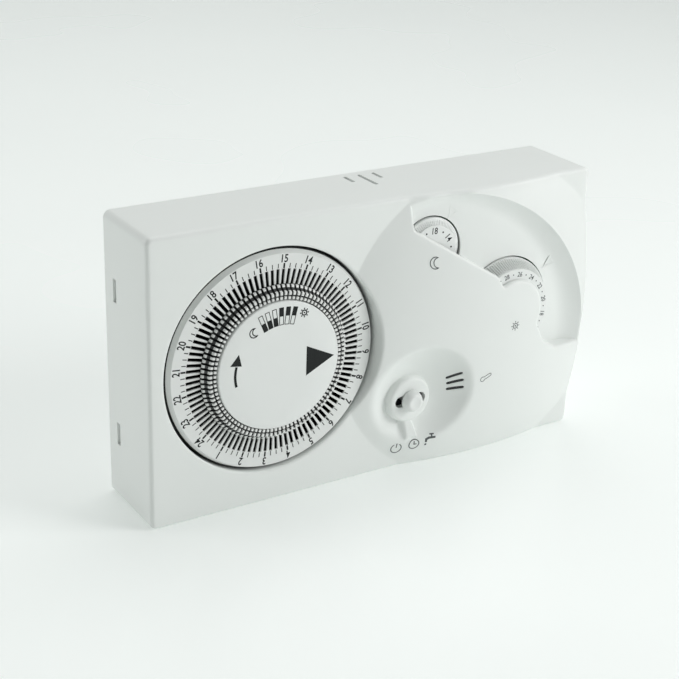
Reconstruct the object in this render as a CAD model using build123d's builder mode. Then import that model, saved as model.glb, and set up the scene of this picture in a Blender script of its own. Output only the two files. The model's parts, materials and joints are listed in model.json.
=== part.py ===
"""Mechanical day-programme room thermostat: a snap-on front unit over a wall base.

Frame: X to the right, Z up, the wall face is the plane Y = 0 and the front looks along -Y.
The origin is the centre of the wall face. A "depth" is a distance out from the wall.
"""
from math import acos, atan2, cos, degrees, pi, radians, sin, sqrt, tan
import os

from build123d import *

os.makedirs("parts", exist_ok=True)

# ---------------------------------------------------------------- driving dimensions (mm)
WIDTH, HEIGHT, CASE_DEPTH = 146.6, 85.0, 27.0
WALL, FRONT_WALL, CORNER_R, EDGE_R = 2.0, 2.2, 2.0, 1.2
FIT = 0.3  # gap between moulded pieces

# shallow dome of the control side: foot circle, rise, and the lower dome of the scoop floor
DOME_X, DOME_Z, DOME_FOOT_R, DOME_RISE = 34.8, 0.0, 49.0, 9.0
FLOOR_FOOT_R, FLOOR_RISE = 44.0, 2.6
SCOOP_X, SCOOP_Z, SCOOP_R, SCOOP_FLARE = 20.7, -9.9, 51.6, 5.0

# programme dial
DIAL_X, DIAL_Z = -35.35, 0.85
OPENING_R, DIAL_R, LAND_R = 33.4, 32.8, 31.6
LAND_DEPTH, BEVEL_DEPTH, WEB_DEPTH, SKIRT_DEPTH = 27.2, 24.9, 24.6, 20.3
SLOTS, HOURS, SLOT_W, SLOT_IN_R, SLOT_OUT_R = 96, 24, 1.0, 19.8, 27.2
HUB_R, HUB_BORE_R, HUB_DISC_R, HUB_DISC_DEPTH, HUB_DISC_T = 17.7, 16.0, 18.9, 30.2, 1.9
FIRST_HOUR_DEG = 84.6 - 14 * 15.0  # where hour 1 stands, turning anticlockwise

# tappets: four a set, one set for each hour
TAPPET_IN_R, TAPPET_OUT_R, TAPPET_W, BLADE_W, BLADE_IN_R = 19.2, 22.9, 0.85, 0.4, 20.15
TAPPET_TOP, TAPPET_TOE, TAPPET_TOE_R, TAPPET_FOOT = 29.8, 28.2, 21.5, 22.7

# clockwork
RING_TEETH, PINION_TEETH, RING_MODULE = 72, 10, 0.8
WHEEL_TEETH, MOTOR_TEETH, WHEEL_MODULE = 22, 10, 0.5
AXLE_DEG = -45.0
PLATE_BACK, PLATE_FRONT = 17.0, 18.2

# temperature wheels: centre, rim radius, face radius, rim depth, face depth
NIGHT = dict(x=14.9, z=25.6, rim=9.8, face=7.9, rim_depth=28.0, face_depth=29.4)
COMFORT = dict(x=42.0, z=3.7, rim=15.6, face=13.3, rim_depth=29.4, face_depth=33.8)
WHEEL_GAP, RIM_HEIGHT, WHEEL_SKIN = 0.45, 1.4, 1.4
SHAFT_R, SHAFT_BORE_R = 1.95, 2.0

# mode switch in its bowl
BOWL_X, BOWL_Z, BOWL_R, BOWL_SAG = 12.4, -18.1, 16.0, 5.4
ISLAND_X, ISLAND_Z, ISLAND_R, ISLAND_TOP = 9.8, -19.9, 7.1, 29.4
SWITCH_SLOT_L, SWITCH_SLOT_W, KNOB_R, KNOB_TOP, STEM = 10.6, 3.6, 3.3, 33.0, 2.8
KNOB_BASE = ISLAND_TOP + FIT
SENSOR_SLOT_DEG = (2.0, 10.6, 19.2)

# inner layers
CHASSIS_BACK, CHASSIS_FRONT = 2.6, 4.2
BOARD_BACK, BOARD_FRONT = 19.0, 20.6
BASE_T = 2.2
BATTERY_R, BATTERY_L, BATTERY_X, BATTERY_DEPTH = 7.15, 49.2, 40.6, 11.6
BATTERY_Z = (-32.7, -17.7)
LATCH_Z, LATCH_H, LATCH_LOW, LATCH_HIGH = 21.5, 6.8, 5.6, 7.6
SCREW_SPACING_WIDE, SCREW_SPACING_NARROW = 83.5, 60.0
WALL_SLOT_W, WALL_SLOT_L = 4.4, 9.0


def front(depth, x=0.0, z=0.0):
    """A sketch plane that faces the front, at a depth, with local axes X and Z."""
    return Plane(origin=(x, -depth, z), x_dir=(1, 0, 0), z_dir=(0, -1, 0))


def polar(radius, degrees, x=0.0, z=0.0):
    """A point in the front plane, at a radius and an anticlockwise angle."""
    return (x + radius * cos(radians(degrees)), z + radius * sin(radians(degrees)))


def sphere_for(foot_r, rise, at_depth):
    """Radius and centre depth of the sphere whose cap has this foot circle and rise."""
    radius = (foot_r**2 + rise**2) / (2 * rise)
    return radius, at_depth + rise - radius


def finish(part, label):
    """Label a finished piece and write it under its own name."""
    part.label = label
    export_step(part, f"parts/{label}.step")


# ---------------------------------------------------------------- gear outlines
PRESSURE = radians(20)


def involute(angle):
    """The involute function."""
    return tan(angle) - angle


def gear_points(teeth, module, addendum, dedendum, thinner, turn_deg):
    """Corners of a spur gear with involute flanks, one tooth centred on turn_deg."""
    pitch_r = teeth * module / 2
    base_r = pitch_r * cos(PRESSURE)
    root_r, tip_r = pitch_r - dedendum, pitch_r + addendum
    half = pi / (2 * teeth) - thinner / pitch_r + involute(PRESSURE)
    radii = [root_r] if root_r < base_r else []
    start = max(root_r, base_r)
    radii += [start + (tip_r - start) * step / 3 for step in range(4)]
    flank = [(r, half - involute(acos(min(1.0, base_r / r)))) for r in radii]
    points = []
    for tooth in range(teeth):
        middle = radians(turn_deg) + 2 * pi * tooth / teeth
        for r, away in flank:
            points.append((r * cos(middle - away), r * sin(middle - away)))
        for r, away in reversed(flank):
            points.append((r * cos(middle + away), r * sin(middle + away)))
    return points


# ---------------------------------------------------------------- shared cutting bodies
dome_r, dome_centre = sphere_for(DOME_FOOT_R, DOME_RISE, CASE_DEPTH)
floor_r, floor_centre = sphere_for(FLOOR_FOOT_R, FLOOR_RISE, CASE_DEPTH)
TOP_DEPTH = CASE_DEPTH + DOME_RISE + 2  # in front of everything

# the bowl's sphere stands on the dome's normal through the bowl's middle
bowl_r = (BOWL_R**2 + BOWL_SAG**2) / (2 * BOWL_SAG)
bowl_reach = (sqrt(dome_r**2 - BOWL_R**2) + bowl_r - BOWL_SAG) / dome_r
bowl_x = DOME_X + (BOWL_X - DOME_X) * bowl_reach
bowl_z = DOME_Z + (BOWL_Z - DOME_Z) * bowl_reach
bowl_away = sqrt(dome_r**2 - (BOWL_X - DOME_X) ** 2 - (BOWL_Z - DOME_Z) ** 2)
bowl_depth = dome_centre + bowl_away * bowl_reach
bowl_bottom = bowl_depth - bowl_r


def dome_body(inset, back_depth, thinner):
    """The dome clipped to the case outline, moved in by inset and thinner."""
    with BuildPart() as body:
        with BuildSketch(front(back_depth)):
            RectangleRounded(WIDTH - 2 * inset, HEIGHT - 2 * inset, CORNER_R)
        extrude(amount=TOP_DEPTH - back_depth)
        with Locations((DOME_X, -dome_centre, DOME_Z)):
            Sphere(dome_r - thinner, mode=Mode.INTERSECT)
    return body.part


def shield_outline(grow):
    """The edge of the shield panel: down the left side, along the slant, round the comfort
    wheel's numbers, and out to the right-hand side. The panel lies below and to the left."""
    ring_r = 10.3 - grow
    left_x = 8.4 - grow
    slant_start = (left_x, 33.0 - 0.56 * grow)
    slant_end = (35.4 - 0.53 * grow, 16.2 - 0.85 * grow)
    on_ring = polar(ring_r, 118, COMFORT["x"], COMFORT["z"])
    off_ring = polar(ring_r, -28, COMFORT["x"], COMFORT["z"])
    with BuildSketch(front(CASE_DEPTH - 8)) as outline:
        with BuildLine():
            Polyline((left_x, HEIGHT), slant_start, slant_end, on_ring)
            ThreePointArc(on_ring, polar(ring_r, 45, COMFORT["x"], COMFORT["z"]), off_ring)
            Polyline(off_ring, (54.6, -7.6 - grow), (60.5, -11.4 - grow), (WIDTH, -12.6 - grow),
                     (WIDTH, -HEIGHT), (-WIDTH, -HEIGHT), (-WIDTH, HEIGHT), (left_x, HEIGHT))
        make_face()
    return outline.sketch


def scoop_body(grow):
    """The crescent scooped out of the dome above the shield panel, with flared outer wall."""
    with BuildPart() as body:
        with BuildSketch(front(CASE_DEPTH - 2, SCOOP_X, SCOOP_Z)):
            Circle(SCOOP_R - SCOOP_FLARE + grow)
        extrude(amount=TOP_DEPTH - CASE_DEPTH + 2, taper=-45)
        extrude(shield_outline(grow), amount=TOP_DEPTH, mode=Mode.SUBTRACT)
        with Locations((DOME_X, -floor_centre, DOME_Z)):
            Sphere(floor_r - grow, mode=Mode.SUBTRACT)
    return body.part


def bowl_body(grow):
    """The round bowl of the mode switch: a sphere square to the dome's surface."""
    with BuildPart() as body:
        with BuildSketch(front(CASE_DEPTH - 8)):
            Rectangle(WIDTH, HEIGHT)
        extrude(amount=TOP_DEPTH - CASE_DEPTH + 8)
        with Locations((bowl_x, -bowl_depth, bowl_z)):
            Sphere(bowl_r + grow, mode=Mode.INTERSECT)
    return body.part


# ---------------------------------------------------------------- front cover
dome = dome_body(0, 20, 0)
dome_hollow = dome_body(WALL, 20, 2.0)
scoop, scoop_keep = scoop_body(0), scoop_body(1.6)
bowl, bowl_keep = bowl_body(0), bowl_body(1.8)
BOSS_SPOTS = [(-66.5, 34.5), (-66.5, -34.5), (-3.4, 36.5), (-3.4, -36.5)]
BOSS_R, PILOT_R, SMALL_SCREW_R = 3.0, 1.1, 0.9

with BuildPart() as hollow:
    add(dome_hollow)
    add(scoop_keep, mode=Mode.SUBTRACT)
    add(bowl_keep, mode=Mode.SUBTRACT)

with BuildPart() as front_cover:
    with BuildSketch(front(0)):
        RectangleRounded(WIDTH, HEIGHT, CORNER_R)
    extrude(amount=CASE_DEPTH)
    fillet(front_cover.faces().sort_by(Axis.Y)[0].edges(), EDGE_R)
    add(dome)
    # the shell is hollow behind
    with BuildSketch(front(0)):
        RectangleRounded(WIDTH - 2 * WALL, HEIGHT - 2 * WALL, CORNER_R)
    extrude(amount=CASE_DEPTH - FRONT_WALL, mode=Mode.SUBTRACT)
    add(hollow.part, mode=Mode.SUBTRACT)
    add(scoop, mode=Mode.SUBTRACT)
    add(bowl, mode=Mode.SUBTRACT)
    # the island round the switch slot, standing in the bowl
    with BuildSketch(front(CASE_DEPTH - FRONT_WALL, ISLAND_X, ISLAND_Z)):
        Circle(ISLAND_R)
    extrude(amount=ISLAND_TOP - CASE_DEPTH + FRONT_WALL)
    with BuildSketch(front(CASE_DEPTH - 4, ISLAND_X, ISLAND_Z)):
        RectangleRounded(SWITCH_SLOT_L, SWITCH_SLOT_W, 0.8)
    extrude(amount=TOP_DEPTH, mode=Mode.SUBTRACT)
    # round pocket and hole of each temperature wheel, under the shield
    for wheel in (NIGHT, COMFORT):
        pocket_depth = wheel["rim_depth"] + FIT
        rise, narrows = wheel["face_depth"] - wheel["rim_depth"], wheel["rim"] - wheel["face"]
        with BuildSketch(front(CASE_DEPTH - 8, wheel["x"], wheel["z"])):
            Circle(wheel["rim"] + WHEEL_GAP)
        extrude(amount=pocket_depth - CASE_DEPTH + 8, mode=Mode.SUBTRACT)
        with BuildSketch(front(pocket_depth, wheel["x"], wheel["z"])):
            Circle(wheel["rim"] + WHEEL_GAP)
        extrude(amount=rise, taper=degrees(atan2(narrows, rise)), mode=Mode.SUBTRACT)
    # dial opening, with a collar behind it
    with BuildSketch(front(CASE_DEPTH - 6, DIAL_X, DIAL_Z)):
        Circle(OPENING_R + 1.6)
    extrude(amount=5)
    with BuildSketch(front(CASE_DEPTH - 8, DIAL_X, DIAL_Z)):
        Circle(OPENING_R)
    extrude(amount=TOP_DEPTH, mode=Mode.SUBTRACT)
    # screw bosses that carry the chassis
    with BuildSketch(front(CHASSIS_FRONT)):
        with Locations(*BOSS_SPOTS):
            Circle(BOSS_R)
    extrude(amount=CASE_DEPTH - FRONT_WALL - CHASSIS_FRONT + 0.5)
    with BuildSketch(front(CHASSIS_FRONT)):
        with Locations(*BOSS_SPOTS):
            Circle(PILOT_R)
    extrude(amount=8, mode=Mode.SUBTRACT)
    # sensor slots fan out over the bowl's right-hand side
    with BuildSketch(front(CASE_DEPTH - 6, ISLAND_X, ISLAND_Z)):
        with PolarLocations(15.1, 3, start_angle=SENSOR_SLOT_DEG[0],
                            angular_range=3 * (SENSOR_SLOT_DEG[1] - SENSOR_SLOT_DEG[0])):
            SlotOverall(5.4, 0.9)
    extrude(amount=12, mode=Mode.SUBTRACT)
    # vents in the top, the middle one longest
    with BuildSketch(Plane.XY.offset(HEIGHT / 2 - WALL - 1)):
        for x, near, far in ((0.8, 2.9, 8.5), (5.6, 2.9, 13.4), (10.5, 2.9, 8.5)):
            with Locations((x, -(near + far) / 2)):
                SlotOverall(far - near, 1.2, rotation=90)
    extrude(amount=WALL + 2, mode=Mode.SUBTRACT)
    # latch windows in both sides
    for side in (-1, 1):
        for z in (-LATCH_Z, LATCH_Z):
            with Locations((side * (WIDTH / 2 - WALL / 2), -(LATCH_LOW + LATCH_HIGH) / 2, z)):
                Box(WALL + 1, LATCH_HIGH - LATCH_LOW, LATCH_H, mode=Mode.SUBTRACT)
finish(front_cover.part, "front_cover")


# ---------------------------------------------------------------- wall base
TERMINAL_X, TERMINAL_Z, TERMINAL_L, TERMINAL_H, TERMINAL_FRONT = 49.0, 29.0, 26.0, 12.0, 13.6
ENTRY_X, ENTRY_Z, ENTRY_W, ENTRY_H = 49.0, 12.0, 26.0, 14.0
base_w, base_h = WIDTH - 2 * (WALL + FIT), HEIGHT - 2 * (WALL + FIT)

with BuildPart() as wall_base:
    with BuildSketch(front(0)):
        RectangleRounded(base_w, base_h, CORNER_R)
        with Locations((ENTRY_X, ENTRY_Z)):
            RectangleRounded(ENTRY_W, ENTRY_H, 1.5, mode=Mode.SUBTRACT)
        for spacing in (SCREW_SPACING_WIDE, SCREW_SPACING_NARROW):
            with GridLocations(spacing, 1, 2, 1):
                SlotOverall(WALL_SLOT_L, WALL_SLOT_W, mode=Mode.SUBTRACT)
    extrude(amount=BASE_T)
    # snap tongues whose noses sit in the cover's side windows
    for side in (-1, 1):
        for z in (-LATCH_Z, LATCH_Z):
            with Locations((side * (base_w / 2 - 0.6), -LATCH_HIGH / 2, z)):
                Box(1.2, LATCH_HIGH, LATCH_H - 1.2)
            with Locations((side * (base_w / 2 + 0.6), -(LATCH_LOW + LATCH_HIGH) / 2, z)):
                Box(1.6, LATCH_HIGH - LATCH_LOW - 0.4, LATCH_H - 1.2)
    # fence that locates the terminal block
    with BuildSketch(front(BASE_T)):
        with Locations((TERMINAL_X, TERMINAL_Z)):
            Rectangle(TERMINAL_L + 2, TERMINAL_H + 2)
            Rectangle(TERMINAL_L + 0.2, TERMINAL_H + 0.2, mode=Mode.SUBTRACT)
    extrude(amount=3)
finish(wall_base.part, "wall_base")

TERMINAL_PITCH = 8.0
with BuildPart() as terminal_block:
    with BuildSketch(front(BASE_T)):
        with Locations((TERMINAL_X, TERMINAL_Z)):
            RectangleRounded(TERMINAL_L, TERMINAL_H, 0.8)
    extrude(amount=TERMINAL_FRONT - BASE_T)
    with BuildSketch(front(TERMINAL_FRONT)):
        with Locations((TERMINAL_X, TERMINAL_Z + 2)):
            with GridLocations(TERMINAL_PITCH, 1, 3, 1):
                Circle(2.4)
    extrude(amount=-6, mode=Mode.SUBTRACT)
    # wire ports open downwards
    with BuildSketch(Plane(origin=(TERMINAL_X, -7.0, TERMINAL_Z - TERMINAL_H / 2))):
        with GridLocations(TERMINAL_PITCH, 1, 3, 1):
            Rectangle(4.6, 4.2)
    extrude(amount=5, mode=Mode.SUBTRACT)
finish(terminal_block.part, "terminal_block")

with BuildPart() as terminal_screws:
    with BuildSketch(front(TERMINAL_FRONT - 6)):
        with Locations((TERMINAL_X, TERMINAL_Z + 2)):
            with GridLocations(TERMINAL_PITCH, 1, 3, 1):
                Circle(2.1)
    extrude(amount=4.6)
    with BuildSketch(front(TERMINAL_FRONT - 1.4)):
        with Locations((TERMINAL_X, TERMINAL_Z + 2)):
            with GridLocations(TERMINAL_PITCH, 1, 3, 1):
                Rectangle(4.4, 0.6)
    extrude(amount=-1.0, mode=Mode.SUBTRACT)
finish(terminal_screws.part, "terminal_screws")


# ---------------------------------------------------------------- chassis of the front unit
WINDOW_X, WINDOW_Z, WINDOW_W, WINDOW_H = 49.0, 20.6, 29.2, 36.4
chassis_w, chassis_h = WIDTH - 2 * (WALL + 2.4), HEIGHT - 2 * (WALL + FIT)
PILLAR_DEG, PILLAR_RING, PILLAR_R = (60, 150, 240), 29.0, 2.8
PILLAR_SPOTS = [polar(PILLAR_RING, a, DIAL_X, DIAL_Z) for a in PILLAR_DEG]
BOSS_SEAT = 3.4
BOARD_SPOTS = [(4.0, 7.0), (66.5, 36.0), (66.5, -3.6)]
BATTERY_END_T = 1.4
battery_span = BATTERY_L + 5.6

with BuildPart() as chassis:
    with BuildSketch(front(CHASSIS_BACK)):
        RectangleRounded(chassis_w, chassis_h, CORNER_R)
        with Locations((WINDOW_X, WINDOW_Z)):
            Rectangle(WINDOW_W, WINDOW_H, mode=Mode.SUBTRACT)
        for spacing in (SCREW_SPACING_WIDE, SCREW_SPACING_NARROW):
            with GridLocations(spacing, 1, 2, 1):
                Circle(5.0, mode=Mode.SUBTRACT)
        with Locations(*BOSS_SPOTS):
            Circle(1.4, mode=Mode.SUBTRACT)
    extrude(amount=CHASSIS_FRONT - CHASSIS_BACK)
    with BuildSketch(front(CHASSIS_BACK)):
        with Locations(*BOSS_SPOTS):
            Circle(2.6)
    extrude(amount=BOSS_SEAT - CHASSIS_BACK, mode=Mode.SUBTRACT)
    # pillars under the clock plate and under the circuit board
    with BuildSketch(front(CHASSIS_BACK)):
        with Locations(*PILLAR_SPOTS):
            Circle(PILLAR_R)
    extrude(amount=PLATE_BACK - CHASSIS_BACK)
    with BuildSketch(front(CHASSIS_BACK)):
        with Locations(*BOARD_SPOTS):
            Circle(PILLAR_R - 0.4)
    extrude(amount=BOARD_BACK - CHASSIS_BACK)
    with BuildSketch(front(PLATE_BACK - 8)):
        with Locations(*PILLAR_SPOTS, *BOARD_SPOTS):
            Circle(SMALL_SCREW_R + 0.05)
    extrude(amount=12, mode=Mode.SUBTRACT)
    # battery tray: two end walls and a rib between the cells
    with BuildSketch(front(CHASSIS_BACK)):
        for end in (-1, 1):
            with Locations((BATTERY_X + end * (battery_span + BATTERY_END_T) / 2, sum(BATTERY_Z) / 2)):
                Rectangle(BATTERY_END_T, 2 * BATTERY_R + 14.6)
        with Locations((BATTERY_X, sum(BATTERY_Z) / 2)):
            Rectangle(BATTERY_L - 14, 0.5)
    extrude(amount=11)
finish(chassis.part, "chassis")


def screw_set(spots, seat_depth, length, shank_r, head_r, head_h, towards_wall, label):
    """Cross-head screws, all alike, with heads on seat_depth."""
    way = -1 if towards_wall else 1  # from the head into the material
    with BuildPart() as screws:
        with BuildSketch(front(seat_depth)):
            with Locations(*spots):
                Circle(head_r)
        extrude(amount=-way * head_h)
        with BuildSketch(front(seat_depth)):
            with Locations(*spots):
                Circle(shank_r)
        extrude(amount=way * length)
        with BuildSketch(front(seat_depth - way * head_h)):
            for spot in spots:
                with Locations(spot):
                    Rectangle(head_r * 1.2, head_r * 0.3)
                    Rectangle(head_r * 0.3, head_r * 1.2)
        extrude(amount=way * head_h * 0.6, mode=Mode.SUBTRACT)
    finish(screws.part, label)


screw_set(BOSS_SPOTS, BOSS_SEAT, 7.0, PILOT_R - 0.05, 2.4, 0.8, False, "chassis_screws")
screw_set(PILLAR_SPOTS, PLATE_FRONT, 6.0, SMALL_SCREW_R, 1.8, 1.2, True, "clock_screws")
screw_set(BOARD_SPOTS, BOARD_FRONT, 6.0, SMALL_SCREW_R, 1.8, 1.2, True, "board_screws")


# ---------------------------------------------------------------- batteries
for number, z in enumerate(BATTERY_Z, 1):
    turned = 1 if number == 1 else -1  # the cells lie head to tail
    end_plane = Plane(origin=(BATTERY_X - turned * BATTERY_L / 2, -BATTERY_DEPTH, z),
                      z_dir=(turned, 0, 0))
    with BuildPart() as battery:
        with BuildSketch(end_plane):
            Circle(BATTERY_R)
        extrude(amount=BATTERY_L)
        with BuildSketch(end_plane.offset(BATTERY_L)):
            Circle(2.6)
        extrude(amount=1.2)
    finish(battery.part, f"battery_{number}")

tray_end = battery_span / 2
COIL_R, COIL_WIRE = 3.4, 0.35
coil_l = tray_end - BATTERY_L / 2 - 0.75
with BuildPart() as battery_springs:
    for number, z in enumerate(BATTERY_Z, 1):
        turned = 1 if number == 1 else -1
        seat = Plane(origin=(BATTERY_X - turned * (tray_end - 0.4), -BATTERY_DEPTH, z),
                     z_dir=(turned, 0, 0))
        with BuildSketch(seat.offset(-0.35)):
            Rectangle(9.0, 9.0)
        extrude(amount=0.35)
        for ring in range(3):
            with BuildSketch(seat.offset(ring * (coil_l - COIL_WIRE) / 3)):
                Circle(COIL_R - 0.5 * ring + COIL_WIRE)
                Circle(COIL_R - 0.5 * ring - COIL_WIRE, mode=Mode.SUBTRACT)
            extrude(amount=(coil_l - COIL_WIRE) / 3)
finish(battery_springs.part, "battery_springs")

with BuildPart() as battery_tabs:
    for number, z in enumerate(BATTERY_Z, 1):
        turned = 1 if number == 1 else -1
        seat = Plane(origin=(BATTERY_X + turned * (tray_end - 0.05), -BATTERY_DEPTH, z),
                     z_dir=(-turned, 0, 0))
        with BuildSketch(seat):
            Rectangle(9.0, 9.0)
        extrude(amount=0.4)
        with BuildSketch(seat.offset(0.4)):
            Circle(2.2)
        extrude(amount=tray_end - BATTERY_L / 2 - 1.2 - 0.5)
finish(battery_tabs.part, "battery_tabs")


# ---------------------------------------------------------------- circuit board and what is on it
BOARD_X, BOARD_Z, BOARD_W, BOARD_H = 36.0, 0.0, 69.0, 77.0
POT_R, POT_BODY_TOP = 6.0, 25.4
SWITCH_L, SWITCH_W, SWITCH_TOP = 16.0, 7.6, 24.0
LINK_X = (41.0, 49.0, 57.0)

with BuildPart() as circuit_board:
    with BuildSketch(front(BOARD_BACK)):
        with Locations((BOARD_X, BOARD_Z)):
            RectangleRounded(BOARD_W, BOARD_H, 1.0)
        with Locations(*BOARD_SPOTS):
            Circle(SMALL_SCREW_R + 0.15, mode=Mode.SUBTRACT)
    extrude(amount=BOARD_FRONT - BOARD_BACK)
finish(circuit_board.part, "circuit_board")

for name, wheel in (("night", NIGHT), ("comfort", COMFORT)):
    with BuildPart() as potentiometer:
        with BuildSketch(front(BOARD_FRONT, wheel["x"], wheel["z"])):
            Circle(POT_R)
            with Locations((0, -POT_R)):
                Rectangle(8.0, 4.0)
            Circle(SHAFT_BORE_R, mode=Mode.SUBTRACT)
        extrude(amount=POT_BODY_TOP - BOARD_FRONT)
    finish(potentiometer.part, f"{name}_potentiometer")

with BuildPart() as mode_switch_body:
    with BuildSketch(front(BOARD_FRONT, ISLAND_X, ISLAND_Z)):
        RectangleRounded(SWITCH_L, SWITCH_W, 0.6)
    extrude(amount=SWITCH_TOP - BOARD_FRONT)
    with BuildSketch(front(BOARD_FRONT + 1.0, ISLAND_X, ISLAND_Z)):
        Rectangle(SWITCH_SLOT_L, STEM + 2 * FIT)
    extrude(amount=SWITCH_TOP, mode=Mode.SUBTRACT)
finish(mode_switch_body.part, "mode_switch_body")

with BuildPart() as mode_switch_knob:
    with BuildSketch(front(BOARD_FRONT + 1.0 + FIT, ISLAND_X, ISLAND_Z)):
        RectangleRounded(STEM, STEM, 0.3)
    extrude(amount=KNOB_BASE - BOARD_FRONT - 1.0)
    with BuildSketch(front(KNOB_BASE, ISLAND_X, ISLAND_Z)):
        Circle(KNOB_R)
    extrude(amount=KNOB_TOP - KNOB_BASE)
    fillet(mode_switch_knob.faces().sort_by(Axis.Y)[0].edges(), 2.4)
finish(mode_switch_knob.part, "mode_switch_knob")

with BuildPart() as relay:
    with BuildSketch(front(BOARD_BACK)):
        with Locations((22.0, 17.0)):
            RectangleRounded(20.0, 15.5, 0.8)
    extrude(amount=-13.5)
finish(relay.part, "relay")

with BuildPart() as link_pins:
    with BuildSketch(front(BOARD_BACK)):
        with Locations(*[(x, TERMINAL_Z - 2.6) for x in LINK_X]):
            Rectangle(1.6, 0.8)
    extrude(amount=TERMINAL_FRONT - BOARD_BACK + 0.2)
    with BuildSketch(front(BOARD_BACK)):
        with Locations((LINK_X[1], TERMINAL_Z - 2.6)):
            Rectangle(21.0, 2.4)
    extrude(amount=-2.0)
finish(link_pins.part, "link_pins")

with BuildPart() as capacitor:
    with BuildSketch(front(BOARD_BACK, 24.0, 33.0)):
        Circle(4.0)
    extrude(amount=-11.0)
    fillet(capacitor.faces().sort_by(Axis.Y)[-1].edges(), 0.5)
finish(capacitor.part, "capacitor")

with BuildPart() as control_chip:
    with BuildSketch(front(BOARD_FRONT)):
        with Locations((62.0, -20.0)):
            Rectangle(7.5, 10.0)
    extrude(amount=1.8)
finish(control_chip.part, "control_chip")

SENSOR_X, SENSOR_Z, SENSOR_DEPTH = 24.6, -17.2, 24.6
with BuildPart() as thermistor:
    with Locations((SENSOR_X, -SENSOR_DEPTH, SENSOR_Z)):
        Sphere(1.3)
    with BuildSketch(front(BOARD_FRONT)):
        with Locations((SENSOR_X - 0.8, SENSOR_Z), (SENSOR_X + 0.8, SENSOR_Z)):
            Circle(0.25)
    extrude(amount=SENSOR_DEPTH - BOARD_FRONT)
finish(thermistor.part, "thermistor")


# ---------------------------------------------------------------- temperature wheels
def temperature_wheel(wheel, ribs, label):
    """A thumb wheel: grooved rim, sloping flank, raised face, and the shaft in its pot."""
    narrows, rise = wheel["rim"] - wheel["face"], wheel["face_depth"] - wheel["rim_depth"]
    with BuildPart() as body:
        with BuildSketch(front(wheel["rim_depth"] - RIM_HEIGHT, wheel["x"], wheel["z"])):
            Circle(wheel["rim"])
        extrude(amount=RIM_HEIGHT)
        with BuildSketch(front(wheel["rim_depth"], wheel["x"], wheel["z"])):
            Circle(wheel["rim"])
        extrude(amount=rise, taper=degrees(atan2(narrows, rise)))
        with BuildSketch(front(wheel["rim_depth"] - RIM_HEIGHT, wheel["x"], wheel["z"])):
            Circle(wheel["face"] - WHEEL_SKIN)
        extrude(amount=RIM_HEIGHT + rise - WHEEL_SKIN, mode=Mode.SUBTRACT)
        with BuildSketch(front(BOARD_FRONT + 0.4, wheel["x"], wheel["z"])):
            Circle(SHAFT_R)
        extrude(amount=wheel["face_depth"] - BOARD_FRONT - 0.8)
        with BuildSketch(front(POT_BODY_TOP + FIT, wheel["x"], wheel["z"])):
            Circle(SHAFT_R + 1.2)
        extrude(amount=wheel["face_depth"] - POT_BODY_TOP - 0.7)
        with BuildSketch(front(wheel["rim_depth"] - RIM_HEIGHT, wheel["x"], wheel["z"])):
            with PolarLocations(wheel["rim"], ribs):
                Rectangle(0.9, 0.35)
        extrude(amount=RIM_HEIGHT + rise, mode=Mode.SUBTRACT)
    finish(body.part, label)


temperature_wheel(NIGHT, 48, "night_wheel")
temperature_wheel(COMFORT, 72, "comfort_wheel")


# ---------------------------------------------------------------- clock: plate, motor, gears
AXLE_RING = (RING_TEETH - PINION_TEETH) * RING_MODULE / 2
STAGE_GAP = (WHEEL_TEETH + MOTOR_TEETH) * WHEEL_MODULE / 2
motor_turn = degrees(2 * (pi / 2 - acos(STAGE_GAP / (2 * AXLE_RING))))
AXLE_X, AXLE_Z = polar(AXLE_RING, AXLE_DEG, DIAL_X, DIAL_Z)
MOTOR_X, MOTOR_Z = polar(AXLE_RING, AXLE_DEG - motor_turn, DIAL_X, DIAL_Z)
AXLE_R, MOTOR_R, MOTOR_BACK = 0.8, 8.0, 6.0
WHEEL_BACK, WHEEL_FRONT = 18.5, 19.5
PINION_BACK, PINION_FRONT = 19.7, 22.2
SWITCH_X, SWITCH_Z = DIAL_X + 23.6, DIAL_Z
backlash = 0.05

with BuildPart() as clock_plate:
    with BuildSketch(front(PLATE_BACK, DIAL_X, DIAL_Z)):
        Circle(DIAL_R - 0.8)
        with Locations(*[polar(PILLAR_RING, a) for a in PILLAR_DEG]):
            Circle(SMALL_SCREW_R + 0.15, mode=Mode.SUBTRACT)
        with Locations((AXLE_X - DIAL_X, AXLE_Z - DIAL_Z), (MOTOR_X - DIAL_X, MOTOR_Z - DIAL_Z)):
            Circle(AXLE_R + 0.05, mode=Mode.SUBTRACT)
    extrude(amount=PLATE_FRONT - PLATE_BACK)
finish(clock_plate.part, "clock_plate")

with BuildPart() as dial_hub:
    with BuildSketch(front(PLATE_FRONT, DIAL_X, DIAL_Z)):
        Circle(HUB_R)
        Circle(HUB_BORE_R, mode=Mode.SUBTRACT)
    extrude(amount=HUB_DISC_DEPTH - HUB_DISC_T - 0.4 - PLATE_FRONT)
    with BuildSketch(front(PLATE_FRONT, DIAL_X, DIAL_Z)):
        Circle(HUB_BORE_R + 0.2)
    extrude(amount=1.2)
finish(dial_hub.part, "dial_hub")

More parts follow.
